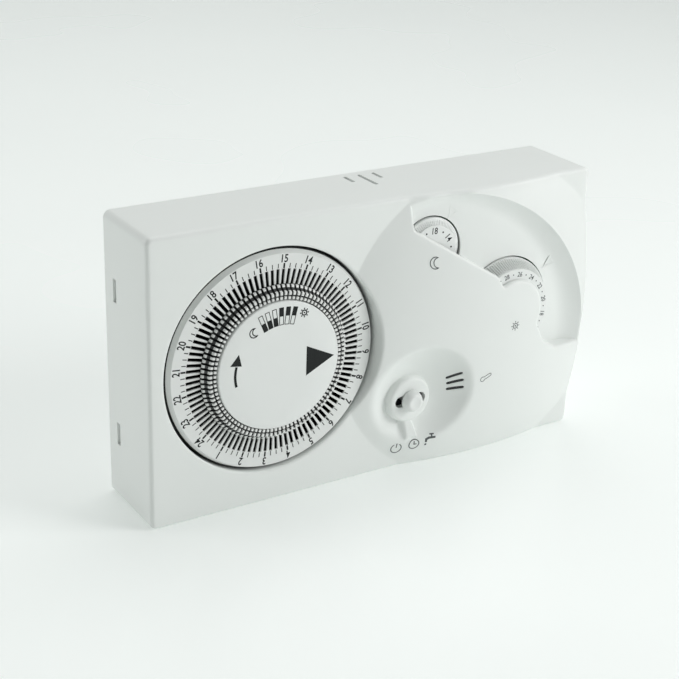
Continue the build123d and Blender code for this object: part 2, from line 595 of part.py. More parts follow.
with BuildPart() as hub_disc:
    with BuildSketch(front(HUB_DISC_DEPTH - HUB_DISC_T, DIAL_X, DIAL_Z)):
        Circle(HUB_DISC_R)
    extrude(amount=HUB_DISC_T)
    fillet(hub_disc.faces().sort_by(Axis.Y)[0].edges(), 0.3)
    with BuildSketch(front(LAND_DEPTH + FIT, DIAL_X, DIAL_Z)):
        Circle(HUB_DISC_R - 0.2)
        Circle(HUB_R + 0.25, mode=Mode.SUBTRACT)
    extrude(amount=HUB_DISC_DEPTH - HUB_DISC_T - LAND_DEPTH - FIT)
    with BuildSketch(front(PLATE_FRONT + 4, DIAL_X, DIAL_Z)):
        Circle(HUB_BORE_R - 0.05)
        Circle(HUB_BORE_R - 1.4, mode=Mode.SUBTRACT)
    extrude(amount=HUB_DISC_DEPTH - HUB_DISC_T - PLATE_FRONT - 4)
finish(hub_disc.part, "hub_disc")

with BuildPart() as clock_motor:
    with BuildSketch(front(MOTOR_BACK, MOTOR_X, MOTOR_Z)):
        Circle(MOTOR_R)
    extrude(amount=PLATE_BACK - MOTOR_BACK - 0.05)
    fillet(clock_motor.faces().sort_by(Axis.Y)[-1].edges(), 0.8)
    with BuildSketch(front(PLATE_BACK - 4, MOTOR_X, MOTOR_Z)):
        Circle(AXLE_R + 0.05)
    extrude(amount=4, mode=Mode.SUBTRACT)
finish(clock_motor.part, "clock_motor")

toward_motor = degrees(atan2(MOTOR_Z - AXLE_Z, MOTOR_X - AXLE_X))
with BuildPart() as motor_pinion:
    with BuildSketch(front(WHEEL_BACK, MOTOR_X, MOTOR_Z)):
        Polygon(*gear_points(MOTOR_TEETH, WHEEL_MODULE, 0.4, 0.6, backlash,
                             toward_motor + 180 + 180 / MOTOR_TEETH), align=None)
    extrude(amount=WHEEL_FRONT - WHEEL_BACK)
    with BuildSketch(front(PLATE_BACK - 3, MOTOR_X, MOTOR_Z)):
        Circle(AXLE_R)
    extrude(amount=WHEEL_BACK - PLATE_BACK + 3)
finish(motor_pinion.part, "motor_pinion")

with BuildPart() as drive_gear:
    with BuildSketch(front(WHEEL_BACK, AXLE_X, AXLE_Z)):
        Polygon(*gear_points(WHEEL_TEETH, WHEEL_MODULE, 0.4, 0.6, backlash, toward_motor),
                align=None)
    extrude(amount=WHEEL_FRONT - WHEEL_BACK)
    with BuildSketch(front(WHEEL_FRONT, AXLE_X, AXLE_Z)):
        Circle(2.6)
    extrude(amount=PINION_BACK - WHEEL_FRONT)
    with BuildSketch(front(PINION_BACK, AXLE_X, AXLE_Z)):
        Polygon(*gear_points(PINION_TEETH, RING_MODULE, 0.6, 0.9, backlash, AXLE_DEG), align=None)
    extrude(amount=PINION_FRONT - PINION_BACK)
    with BuildSketch(front(PLATE_BACK, AXLE_X, AXLE_Z)):
        Circle(AXLE_R)
    extrude(amount=WHEEL_BACK - PLATE_BACK)
finish(drive_gear.part, "drive_gear")

# ---------------------------------------------------------------- programme dial and tappets
RING_PITCH_R = RING_TEETH * RING_MODULE / 2
with BuildPart() as timer_dial:
    with BuildSketch(front(SKIRT_DEPTH, DIAL_X, DIAL_Z)):
        Circle(DIAL_R)
        Circle(RING_PITCH_R + 1.0, mode=Mode.SUBTRACT)
    extrude(amount=WEB_DEPTH - SKIRT_DEPTH)
    with BuildSketch(front(WEB_DEPTH, DIAL_X, DIAL_Z)):
        Circle(DIAL_R)
        Circle(HUB_R + 0.05, mode=Mode.SUBTRACT)
    extrude(amount=BEVEL_DEPTH - WEB_DEPTH)
    with BuildSketch(front(BEVEL_DEPTH, DIAL_X, DIAL_Z)):
        Circle(DIAL_R)
        Circle(HUB_R + 0.05, mode=Mode.SUBTRACT)
    extrude(amount=LAND_DEPTH - BEVEL_DEPTH)
    chamfer(timer_dial.edges().filter_by(GeomType.CIRCLE).sort_by(Axis.Y)[0:2].sort_by(SortBy.RADIUS)[-1:],
            LAND_DEPTH - BEVEL_DEPTH, DIAL_R - LAND_R)
    # inward teeth on the skirt, driven by the pinion
    with BuildSketch(front(SKIRT_DEPTH, DIAL_X, DIAL_Z)):
        Circle(RING_PITCH_R + 1.2)
        Polygon(*gear_points(RING_TEETH, RING_MODULE, 0.8, 0.55, -backlash, AXLE_DEG),
                align=None, mode=Mode.SUBTRACT)
    extrude(amount=2.1)
    # one radial slot for each quarter of an hour
    with BuildSketch(front(WEB_DEPTH, DIAL_X, DIAL_Z)):
        with PolarLocations((SLOT_IN_R + SLOT_OUT_R) / 2, SLOTS, start_angle=FIRST_HOUR_DEG):
            Rectangle(SLOT_OUT_R - SLOT_IN_R, SLOT_W)
    extrude(amount=LAND_DEPTH - WEB_DEPTH, mode=Mode.SUBTRACT)
finish(timer_dial.part, "timer_dial")

TAPPET_L, BLADE_L = TAPPET_OUT_R - TAPPET_IN_R, 2.2
SETS = SLOTS // HOURS
for hour in range(1, HOURS + 1):
    first = FIRST_HOUR_DEG + (hour - 1) * 360 / HOURS
    spread = 360 / HOURS
    with BuildPart() as tappets:
        with BuildSketch(front(LAND_DEPTH + 0.1, DIAL_X, DIAL_Z)):
            with PolarLocations(TAPPET_IN_R + TAPPET_L / 2, SETS, start_angle=first,
                                angular_range=spread):
                Rectangle(TAPPET_L, TAPPET_W)
        extrude(amount=TAPPET_TOE - LAND_DEPTH - 0.1)
        with BuildSketch(front(TAPPET_TOE, DIAL_X, DIAL_Z)):
            with PolarLocations((TAPPET_IN_R + TAPPET_TOE_R) / 2, SETS, start_angle=first,
                                angular_range=spread):
                Rectangle(TAPPET_TOE_R - TAPPET_IN_R, TAPPET_W)
        extrude(amount=TAPPET_TOP - TAPPET_TOE)
        with BuildSketch(front(WEB_DEPTH - 0.3, DIAL_X, DIAL_Z)):
            with PolarLocations(BLADE_IN_R + BLADE_L / 2, SETS, start_angle=first,
                                angular_range=spread):
                Rectangle(BLADE_L, BLADE_W)
        extrude(amount=LAND_DEPTH - WEB_DEPTH + 0.4)
        with BuildSketch(front(TAPPET_FOOT, DIAL_X, DIAL_Z)):
            with PolarLocations(BLADE_IN_R + BLADE_L / 2, SETS, start_angle=first,
                                angular_range=spread):
                Rectangle(BLADE_L, TAPPET_W)
        extrude(amount=WEB_DEPTH - 0.3 - TAPPET_FOOT)
    finish(tappets.part, f"tappets_hour_{hour:02d}")


# ---------------------------------------------------------------- programme switch
LEVER_BACK, LEVER_FRONT, LEVER_TOP_Z, LEVER_PIVOT_Z = 21.5, 22.0, 5.0, -3.2
PIN_R, PIN_DEPTH = 0.4, 21.3
with BuildPart() as program_switch:
    with BuildSketch(front(PLATE_FRONT, SWITCH_X, SWITCH_Z)):
        Rectangle(5.6, 9.6)
    extrude(amount=1.9)
    # two ears that carry the lever's pin
    with BuildSketch(front(PLATE_FRONT, SWITCH_X, SWITCH_Z + LEVER_PIVOT_Z)):
        with Locations((-2.3, 0), (2.3, 0)):
            Rectangle(1.0, 2.4)
    extrude(amount=LEVER_FRONT + 0.2 - PLATE_FRONT)
    with Locations((SWITCH_X, -PIN_DEPTH, SWITCH_Z + LEVER_PIVOT_Z)):
        Cylinder(PIN_R + 0.06, 6.0, rotation=(0, 90, 0), mode=Mode.SUBTRACT)
finish(program_switch.part, "program_switch")

with BuildPart() as program_lever:
    with BuildSketch(front(LEVER_BACK, SWITCH_X, SWITCH_Z)):
        with Locations((0, (LEVER_TOP_Z + LEVER_PIVOT_Z) / 2)):
            Rectangle(3.0, LEVER_TOP_Z - LEVER_PIVOT_Z + 0.6)
    extrude(amount=LEVER_FRONT - LEVER_BACK)
    with Locations((SWITCH_X, -PIN_DEPTH, SWITCH_Z + LEVER_PIVOT_Z)):
        Cylinder(PIN_R, 5.4, rotation=(0, 90, 0))
finish(program_lever.part, "program_lever")
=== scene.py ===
"""Looks of a mechanical day-programme room thermostat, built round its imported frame.

Frame: metres, X to the right, Z up, the wall face is the plane Y = 0 and the front looks
along -Y. Sizes below are in millimetres unless a name says otherwise; MM turns them.
"""
from __future__ import annotations

import json
import logging
import math
from dataclasses import dataclass, field
from enum import Enum
from typing import Any, Callable, Iterable, Sequence

import bpy
import numpy as np
from mathutils import Matrix, Vector
from mathutils.geometry import delaunay_2d_cdt

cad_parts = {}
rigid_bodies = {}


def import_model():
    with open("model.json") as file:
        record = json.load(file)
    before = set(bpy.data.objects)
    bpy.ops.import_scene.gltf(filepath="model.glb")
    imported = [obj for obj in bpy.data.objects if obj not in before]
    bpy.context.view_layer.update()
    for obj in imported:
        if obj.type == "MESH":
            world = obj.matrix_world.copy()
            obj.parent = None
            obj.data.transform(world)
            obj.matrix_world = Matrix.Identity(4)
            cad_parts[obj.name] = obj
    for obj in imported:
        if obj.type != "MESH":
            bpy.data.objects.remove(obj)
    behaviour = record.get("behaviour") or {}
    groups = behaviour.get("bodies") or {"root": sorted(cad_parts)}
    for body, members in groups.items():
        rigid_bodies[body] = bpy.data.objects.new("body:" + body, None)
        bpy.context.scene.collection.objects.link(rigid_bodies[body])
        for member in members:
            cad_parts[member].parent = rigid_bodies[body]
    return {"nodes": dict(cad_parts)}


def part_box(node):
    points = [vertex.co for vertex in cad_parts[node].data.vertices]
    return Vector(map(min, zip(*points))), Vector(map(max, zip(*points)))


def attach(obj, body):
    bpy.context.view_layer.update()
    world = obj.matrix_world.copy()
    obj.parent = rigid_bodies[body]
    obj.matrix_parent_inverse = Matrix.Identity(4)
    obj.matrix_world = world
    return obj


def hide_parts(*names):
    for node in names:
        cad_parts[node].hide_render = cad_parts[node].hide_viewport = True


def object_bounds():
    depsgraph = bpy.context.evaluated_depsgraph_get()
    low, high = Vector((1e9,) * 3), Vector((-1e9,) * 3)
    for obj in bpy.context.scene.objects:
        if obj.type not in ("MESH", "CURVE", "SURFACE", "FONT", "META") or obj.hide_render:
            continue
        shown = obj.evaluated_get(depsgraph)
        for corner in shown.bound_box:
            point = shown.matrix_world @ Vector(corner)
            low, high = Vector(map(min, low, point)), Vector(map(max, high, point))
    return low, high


MM = 0.001
LOG = logging.getLogger("thermostat")
Point = tuple[float, float]
Colour = tuple[float, float, float]
DIAL_AXIS_M: Point = (-0.03535, 0.00085)  # the dial's axis in the front plane, in metres
GRAIN = 9000.0  # waves per metre of the moulded grain


# ---------------------------------------------------------------- shader helpers
class Num:
    """A shader socket that adds Math nodes when it is used in an expression."""

    def __init__(self, tree: bpy.types.NodeTree, socket: Any) -> None:
        """Wraps one value socket of a node tree."""
        self.tree = tree
        self.socket = socket

    def _math(self, operation: str, *values: Any) -> "Num":
        """Adds one Math node.

        Args:
            operation: the Math node's operation.
            values: numbers or wrapped sockets, in order.

        Returns:
            The wrapped result.
        """
        node = self.tree.nodes.new("ShaderNodeMath")
        node.operation = operation
        for place, value in enumerate(values):
            if isinstance(value, Num):
                self.tree.links.new(value.socket, node.inputs[place])
            else:
                node.inputs[place].default_value = value
        return Num(self.tree, node.outputs[0])

    def __add__(self, other: Any) -> "Num":
        """self + other."""
        return self._math("ADD", self, other)

    def __radd__(self, other: Any) -> "Num":
        """other + self."""
        return self._math("ADD", other, self)

    def __sub__(self, other: Any) -> "Num":
        """self - other."""
        return self._math("SUBTRACT", self, other)

    def __rsub__(self, other: Any) -> "Num":
        """other - self."""
        return self._math("SUBTRACT", other, self)

    def __mul__(self, other: Any) -> "Num":
        """self * other."""
        return self._math("MULTIPLY", self, other)

    def __rmul__(self, other: Any) -> "Num":
        """other * self."""
        return self._math("MULTIPLY", other, self)

    def power(self, exponent: float) -> "Num":
        """self raised to a fixed exponent."""
        return self._math("POWER", self, exponent)

    def above(self, limit: float) -> "Num":
        """1 where self is greater than limit, and 0 elsewhere."""
        return self._math("GREATER_THAN", self, limit)

    def clamped(self) -> "Num":
        """self held between 0 and 1."""
        result = self._math("ADD", self, 0.0)
        result.socket.node.use_clamp = True
        return result


class ShaderTree:
    """Builds the node tree of one material."""

    def __init__(self, name: str) -> None:
        """Makes an empty material with one Principled surface."""
        self.material = bpy.data.materials.new(f"{name}_finish")
        self.material.use_nodes = True
        self.tree = self.material.node_tree
        self.tree.nodes.clear()
        self.surface = self.tree.nodes.new("ShaderNodeBsdfPrincipled")
        output = self.tree.nodes.new("ShaderNodeOutputMaterial")
        self.tree.links.new(self.surface.outputs[0], output.inputs[0])

    def node(self, kind: str, settings: dict[str, Any], **values: Any) -> bpy.types.Node:
        """Adds a node, sets its settings first and then its sockets.

        Args:
            kind: the node's type name.
            settings: attributes such as a mode; a ramp's stops go under "stops".
            values: socket name, with spaces written as _, to a number, vector or socket.

        Returns:
            The node.
        """
        node = self.tree.nodes.new(kind)
        for key, value in settings.items():
            if key == "stops":
                while len(node.color_ramp.elements) < len(value):
                    node.color_ramp.elements.new(0.5)
                for element, (place, colour) in zip(node.color_ramp.elements, value):
                    element.position = place
                    element.color = (*colour, 1.0)
            else:
                setattr(node, key, value)
        for key, value in values.items():
            self.put(node.inputs[key.replace("_", " ")], value)
        return node

    def put(self, socket: Any, value: Any) -> None:
        """Links a socket to a wrapped or plain socket, or sets its number."""
        if isinstance(value, Num):
            self.tree.links.new(value.socket, socket)
        elif isinstance(value, bpy.types.NodeSocket):
            self.tree.links.new(value, socket)
        else:
            socket.default_value = value

    def place(self) -> Any:
        """The Object coordinate of the shaded point, in metres."""
        return self.node("ShaderNodeTexCoord", {}).outputs["Object"]

    def about(self, centre: Point) -> tuple[Num, Num, Num]:
        """Where the shaded point lies about an axis along the depth.

        Args:
            centre: the axis in the front plane, in metres.

        Returns:
            Across and up from the axis, and out from the wall, in metres.
        """
        split = self.node("ShaderNodeSeparateXYZ", {}, Vector=self.place())
        across, deep, up = (Num(self.tree, socket) for socket in split.outputs)
        return across - centre[0], up - centre[1], deep * -1.0

    def noise(self, scale: float, detail: float = 3.0, where: Any = None) -> Num:
        """Smooth noise between 0 and 1 on Object coordinates.

        Args:
            scale: waves per metre.
            detail: octaves.
            where: another vector socket to read.

        Returns:
            The wrapped value.
        """
        node = self.node("ShaderNodeTexNoise", {}, Vector=where or self.place(),
                         Scale=scale, Detail=detail, Roughness=0.55)
        return Num(self.tree, node.outputs[0])

    def blend(self, factor: Any, first: Colour, second: Colour) -> Any:
        """Mixes two colours by a factor and returns the colour socket."""
        node = self.tree.nodes.new("ShaderNodeMix")
        node.data_type = "RGBA"
        self.put(node.inputs[0], factor)
        node.inputs[6].default_value = (*first, 1.0)
        node.inputs[7].default_value = (*second, 1.0)
        return node.outputs[2]

    def bump(self, height: Num, distance: float, strength: float = 1.0) -> None:
        """Feeds the surface's Normal from a height, with its distance in metres."""
        node = self.node("ShaderNodeBump", {}, Height=height, Distance=distance,
                         Strength=strength)
        self.put(self.surface.inputs["Normal"], node.outputs[0])

    def set(self, **values: Any) -> None:
        """Sets or links sockets of the surface shader by name."""
        for key, value in values.items():
            self.put(self.surface.inputs[key.replace("_", " ")], value)


# ---------------------------------------------------------------- finishes
@dataclass(frozen=True)
class MouldedPlastic:
    """Satin moulding with a faint spark-eroded grain and slow tone changes."""

    name: str
    colour: Colour
    tone: float = 0.02
    roughness: float = 0.42
    grain: float = 0.5
    sheen: float = 0.5

    def build(self) -> bpy.types.Material:
        """Makes the material."""
        shader = ShaderTree(self.name)
        slow = shader.noise(38.0, 2.0)
        fine = shader.noise(GRAIN, 2.0)
        darker = tuple(c * (1 - self.tone) for c in self.colour)
        shader.set(Base_Color=shader.blend(slow, darker, self.colour),
                   Roughness=(slow * 0.06 + fine * 0.05 + (self.roughness - 0.055)),
                   IOR=1.49, Specular_IOR_Level=self.sheen)
        shader.bump(fine + slow * 0.4, 0.000012 * self.grain)
        return shader.material


@dataclass(frozen=True)
class PrintedInk:
    """Pad-printed ink with slightly uneven cover."""

    name: str
    colour: Colour
    roughness: float = 0.5

    def build(self) -> bpy.types.Material:
        """Makes the material."""
        shader = ShaderTree(self.name)
        patch = shader.noise(2600.0, 3.0)
        lighter = tuple(min(1.0, c * 1.35 + 0.012) for c in self.colour)
        shader.set(Base_Color=shader.blend(patch.power(2.0), self.colour, lighter),
                   Roughness=patch * 0.12 + (self.roughness - 0.06), Specular_IOR_Level=0.25)
        return shader.material


@dataclass(frozen=True)
class DrawnMetal:
    """Plated or turned metal with fine lines along one axis."""

    name: str
    colour: Colour
    roughness: float = 0.3
    stretch: tuple[float, float, float] = (1.0, 1.0, 30.0)

    def build(self) -> bpy.types.Material:
        """Makes the material."""
        shader = ShaderTree(self.name)
        turned = shader.node("ShaderNodeMapping", {}, Vector=shader.place(), Scale=self.stretch)
        lines = shader.noise(600.0, 4.0, turned.outputs[0])
        cloud = shader.noise(120.0, 3.0)
        dull = tuple(c * 0.82 for c in self.colour)
        shader.set(Base_Color=shader.blend(lines * 0.6 + cloud * 0.4, dull, self.colour),
                   Metallic=1.0, Roughness=lines * 0.16 + (self.roughness - 0.08))
        shader.bump(lines, 0.000008)
        return shader.material


@dataclass(frozen=True)
class SlotShadeDial:
    """White dial face with painted shade: black in the slots, on the land inside the tappets' heads
    and down the rim in the gap to the cover.
    """

    name: str
    face: Colour
    painted_shade: Colour
    centre: Point = DIAL_AXIS_M
    ring_from: float = 0.02295
    shoulder: float = 0.0292
    skin: float = 0.0267
    rim_skin: float = 0.0256

    def build(self) -> bpy.types.Material:
        """Makes the material."""
        shader = ShaderTree(self.name)
        x, z, out = shader.about(self.centre)
        reach = x * x + z * z
        fine = shader.noise(GRAIN, 2.0)
        front = out.above(self.skin)
        rim = reach.above(self.shoulder**2) * out.above(self.rim_skin)
        # Painted shade: only the front face and the upper rim outside ring_from stay white; the
        # slots, the inner land and the rim's gap go black.
        white = reach.above(self.ring_from**2) * (front + rim).clamped()
        shader.set(Base_Color=shader.blend(white, self.painted_shade, self.face),
                   Roughness=fine * 0.05 + 0.34, IOR=1.49)
        shader.bump(fine, 0.000006)
        return shader.material


@dataclass(frozen=True)
class ShadedRootTappet:
    """White tappet crown with painted shade below it, on the head's flanks, the blade and the foot.
    """

    name: str
    cap: Colour
    root: Colour
    centre: Point = DIAL_AXIS_M
    crown_r: float = 0.0213
    crown: float = 0.02978
    slope: float = 1.3
    skin: float = 0.00042

    def build(self) -> bpy.types.Material:
        """Makes the material."""
        shader = ShaderTree(self.name)
        x, z, out = shader.about(self.centre)
        radius = (x * x + z * z).power(0.5)
        past = (radius - self.crown_r) * (radius - self.crown_r).above(0.0)
        # Painted shade: the crown stays white and everything below it takes the dark root colour.
        cap = (out + past * self.slope).above(self.crown - self.skin)
        fine = shader.noise(GRAIN, 2.0)
        shader.set(Base_Color=shader.blend(cap, self.root, self.cap),
                   Roughness=fine * 0.05 + 0.32, IOR=1.49)
        shader.bump(fine, 0.000006)
        return shader.material


@dataclass(frozen=True)
class CircuitLaminate:
    """Green solder resist over faint copper tracks on a glass laminate."""

    name: str
    colour: Colour

    def build(self) -> bpy.types.Material:
        """Makes the material."""
        shader = ShaderTree(self.name)
        tracks = shader.node("ShaderNodeTexBrick", {"offset": 0.35, "squash": 0.7},
                             Vector=self._flat(shader), Scale=140.0, Mortar_Size=0.09,
                             Mortar_Smooth=0.4, Brick_Width=1.4, Row_Height=0.35)
        mask = Num(shader.tree, tracks.outputs["Fac"])
        cloud = shader.noise(300.0, 3.0)
        raised = tuple(min(1.0, c * 1.5 + 0.02) for c in self.colour)
        shader.set(Base_Color=shader.blend((mask * 0.8 + cloud * 0.2).clamped(),
                                           self.colour, raised),
                   Roughness=cloud * 0.1 + 0.25, Coat_Weight=0.3)
        shader.bump(mask, 0.00003)
        return shader.material

    def _flat(self, shader: ShaderTree) -> Any:
        """Turns the front plane into the brick texture's own plane."""
        turned = shader.node("ShaderNodeMapping", {}, Vector=shader.place(),
                             Rotation=(math.pi / 2, 0.0, 0.0))
        return turned.outputs[0]


@dataclass(frozen=True)
class CellJacket:
    """Plain two-tone jacket of a dry cell, with a band near one end."""

    name: str
    colour: Colour
    band: Colour
    band_from: float

    def build(self) -> bpy.types.Material:
        """Makes the material."""
        shader = ShaderTree(self.name)
        split = shader.node("ShaderNodeSeparateXYZ", {}, Vector=shader.place())
        along = Num(shader.tree, split.outputs[0])
        scuff = shader.noise(900.0, 4.0)
        shader.set(Base_Color=shader.blend(along.above(self.band_from), self.colour, self.band),
                   Metallic=0.35, Roughness=scuff * 0.15 + 0.22, Coat_Weight=0.4)
        shader.bump(scuff, 0.000008)
        return shader.material


class Finish(Enum):
    """Every finish of the thermostat, by the record's slot or the piece's own name."""

    CASE = MouldedPlastic("case_white", (0.895, 0.92, 0.90))
    DIAL = MouldedPlastic("dial_white", (0.875, 0.895, 0.88), roughness=0.36)
    # Its black is painted shade in the dial's slots, on its inner land and in the gap at its rim.
    DIAL_RING = SlotShadeDial("dial_ring", (0.84, 0.855, 0.84), (0.012, 0.013, 0.013))
    # Its dark root colour is painted shade on the tappets' flanks, blades and feet.
    TAPPET = ShadedRootTappet("tappet_white", (0.86, 0.87, 0.855), (0.045, 0.047, 0.047))
    INNER = MouldedPlastic("inner_white", (0.66, 0.67, 0.66), roughness=0.5, grain=0.9)
    GREY = MouldedPlastic("terminal_grey", (0.15, 0.16, 0.17), roughness=0.5)
    DARK = MouldedPlastic("component_dark", (0.018, 0.018, 0.02), roughness=0.45)
    RELAY = MouldedPlastic("relay_blue", (0.03, 0.09, 0.27), roughness=0.2)
    SLEEVE = MouldedPlastic("capacitor_sleeve", (0.015, 0.02, 0.06), roughness=0.25)
    BLACK_INK = PrintedInk("dial_ink", (0.006, 0.008, 0.008))
    GREY_INK = PrintedInk("icon_ink", (0.10, 0.11, 0.11))
    STEEL = DrawnMetal("plate_steel", (0.62, 0.62, 0.63))
    CAN = DrawnMetal("motor_steel", (0.66, 0.66, 0.67), stretch=(1.0, 12.0, 1.0))
    ZINC = DrawnMetal("screw_steel", (0.60, 0.60, 0.61), 0.34, (1.0, 20.0, 1.0))
    NICKEL = DrawnMetal("contact_nickel", (0.68, 0.66, 0.62), 0.24)
    BRASS = DrawnMetal("gear_brass", (0.70, 0.50, 0.20), 0.28, (1.0, 25.0, 1.0))
    BOARD = CircuitLaminate("board_green", (0.012, 0.085, 0.035))
    CELL_1 = CellJacket("cell_jacket_1", (0.02, 0.03, 0.045), (0.55, 0.34, 0.10), 0.0515)
    CELL_2 = CellJacket("cell_jacket_2", (0.55, 0.34, 0.10), (0.02, 0.03, 0.045), 0.0300)

    def material(self) -> bpy.types.Material:
        """The finish's material, built on first use."""
        return bpy.data.materials.get(f"{self.value.name}_finish") or self.value.build()


# ---------------------------------------------------------------- mesh helpers
def ring(centre: Point, radius: float, count: int) -> list[Point]:
    """Points of a circle in the front plane.

    Args:
        centre: its centre in mm.
        radius: its radius in mm.
        count: number of points.

    Returns:
        The points, anticlockwise from +X.
    """
    turns = [math.radians(360.0 * i / count) for i in range(count)]
    return [(centre[0] + radius * math.cos(a), centre[1] + radius * math.sin(a)) for a in turns]


def polar(centre: Point, radius: float, degrees: float) -> Point:
    """A point at a radius and an anticlockwise angle from a centre."""
    turn = math.radians(degrees)
    return (centre[0] + radius * math.cos(turn), centre[1] + radius * math.sin(turn))


def placed(points: Iterable[Point], centre: Point, turned: float) -> list[Point]:
    """Flat points turned anticlockwise by some degrees and moved to a centre."""
    cos, sin = math.cos(math.radians(turned)), math.sin(math.radians(turned))
    return [(centre[0] + x * cos - z * sin, centre[1] + x * sin + z * cos) for x, z in points]


def stadium(centre: Point, length: float, width: float, turned: float,
            steps: int = 8) -> list[Point]:
    """Points of a slot with round ends, anticlockwise.

    Args:
        centre: the slot's middle in mm.
        length: end to end in mm.
        width: across in mm.
        turned: degrees anticlockwise from +X.
        steps: points on each end.

    Returns:
        The outline.
    """
    half, radius = length / 2 - width / 2, width / 2
    points = []
    for side, first in ((1, -90.0), (-1, 90.0)):
        for step in range(steps + 1):
            points.append(polar((side * half, 0.0), radius, first + 180.0 * step / steps))
    return placed(points, centre, turned)


def make_piece(name: str, verts: Sequence[Sequence[float]], faces: Sequence[Sequence[int]],
               finish: Finish, smooth: float = 30.0) -> bpy.types.Object:
    """Makes a mesh object at the origin from points in mm.

    Args:
        name: the piece's name.
        verts: x, y and z in mm.
        faces: corner indices.
        finish: its finish.
        smooth: edges sharper than this many degrees stay sharp.

    Returns:
        The object, linked to the scene.
    """
    mesh = bpy.data.meshes.new(name)
    mesh.from_pydata([tuple(c * MM for c in v) for v in verts], [], [list(f) for f in faces])
    mesh.validate()
    mesh.update()
    piece = bpy.data.objects.new(name, mesh)
    bpy.context.scene.collection.objects.link(piece)
    dress(piece, finish, smooth)
    return piece


def dress(piece: bpy.types.Object, finish: Finish, smooth: float = 30.0) -> None:
    """Gives a piece one finish, smooth shading and sharp edges by angle."""
    piece.data.materials.clear()
    piece.data.materials.append(finish.material())
    piece.data.polygons.foreach_set("use_smooth", [True] * len(piece.data.polygons))
    piece.data.set_sharp_from_angle(angle=math.radians(smooth))


def lathe(profile: Sequence[Point], centre: Point, steps: int) -> tuple[list, list]:
    """Turns a profile about an axis along the depth.

    Args:
        profile: (radius, depth) points in mm, from the front's middle outward and back; a
            radius of 0 is a pole.
        centre: the axis in the front plane.
        steps: segments round.

    Returns:
        Vertices in mm and faces.
    """
    verts: list[tuple[float, float, float]] = []
    rows: list[list[int]] = []
    for radius, depth in profile:
        if radius == 0.0:
            rows.append([len(verts)] * steps)
            verts.append((centre[0], -depth, centre[1]))
        else:
            rows.append(list(range(len(verts), len(verts) + steps)))
            verts += [(x, -depth, z) for x, z in ring(centre, radius, steps)]
    faces = []
    for inner, outer in zip(rows, rows[1:]):
        for i in range(steps):
            j = (i + 1) % steps
            corners = [inner[i], outer[i], outer[j], inner[j]]
            unique = list(dict.fromkeys(corners))
            if len(unique) > 2:
                faces.append(unique)
    return verts, faces


def join_meshes(name: str, pieces: Iterable[bpy.types.Object]) -> bpy.types.Object:
    """Joins plain pieces into the first of them and gives it a name."""
    several = list(pieces)
    bpy.ops.object.select_all(action="DESELECT")
    for piece in several:
        piece.select_set(True)
    bpy.context.view_layer.objects.active = several[0]
    bpy.ops.object.join()
    several[0].name = name
    several[0].data.name = name
    return several[0]


def text_outline(words: str, height: float,
                 bold: float = 0.0) -> tuple[np.ndarray, list[list[int]]]:
    """A flat mesh of figures, centred on the origin.

    Args:
        words: the figures.
        height: the size of the type in mm.
        bold: how far every stroke is widened on each side, in mm.

    Returns:
        Points as an (n, 2) array in mm, and faces.
    """
    curve = bpy.data.curves.new("figures", "FONT")
    curve.body = words
    curve.size = height
    curve.offset = bold
    curve.align_x = "CENTER"
    curve.align_y = "CENTER"
    curve.resolution_u = 3
    holder = bpy.data.objects.new("figures", curve)
    bpy.context.scene.collection.objects.link(holder)
    mesh = bpy.data.meshes.new_from_object(holder.evaluated_get(
        bpy.context.evaluated_depsgraph_get()))
    points = np.array([v.co[:2] for v in mesh.vertices])
    faces = [list(p.vertices) for p in mesh.polygons]
    bpy.data.objects.remove(holder)
    bpy.data.meshes.remove(mesh)
    middle = (points.max(axis=0) + points.min(axis=0)) / 2
    return points - middle, faces


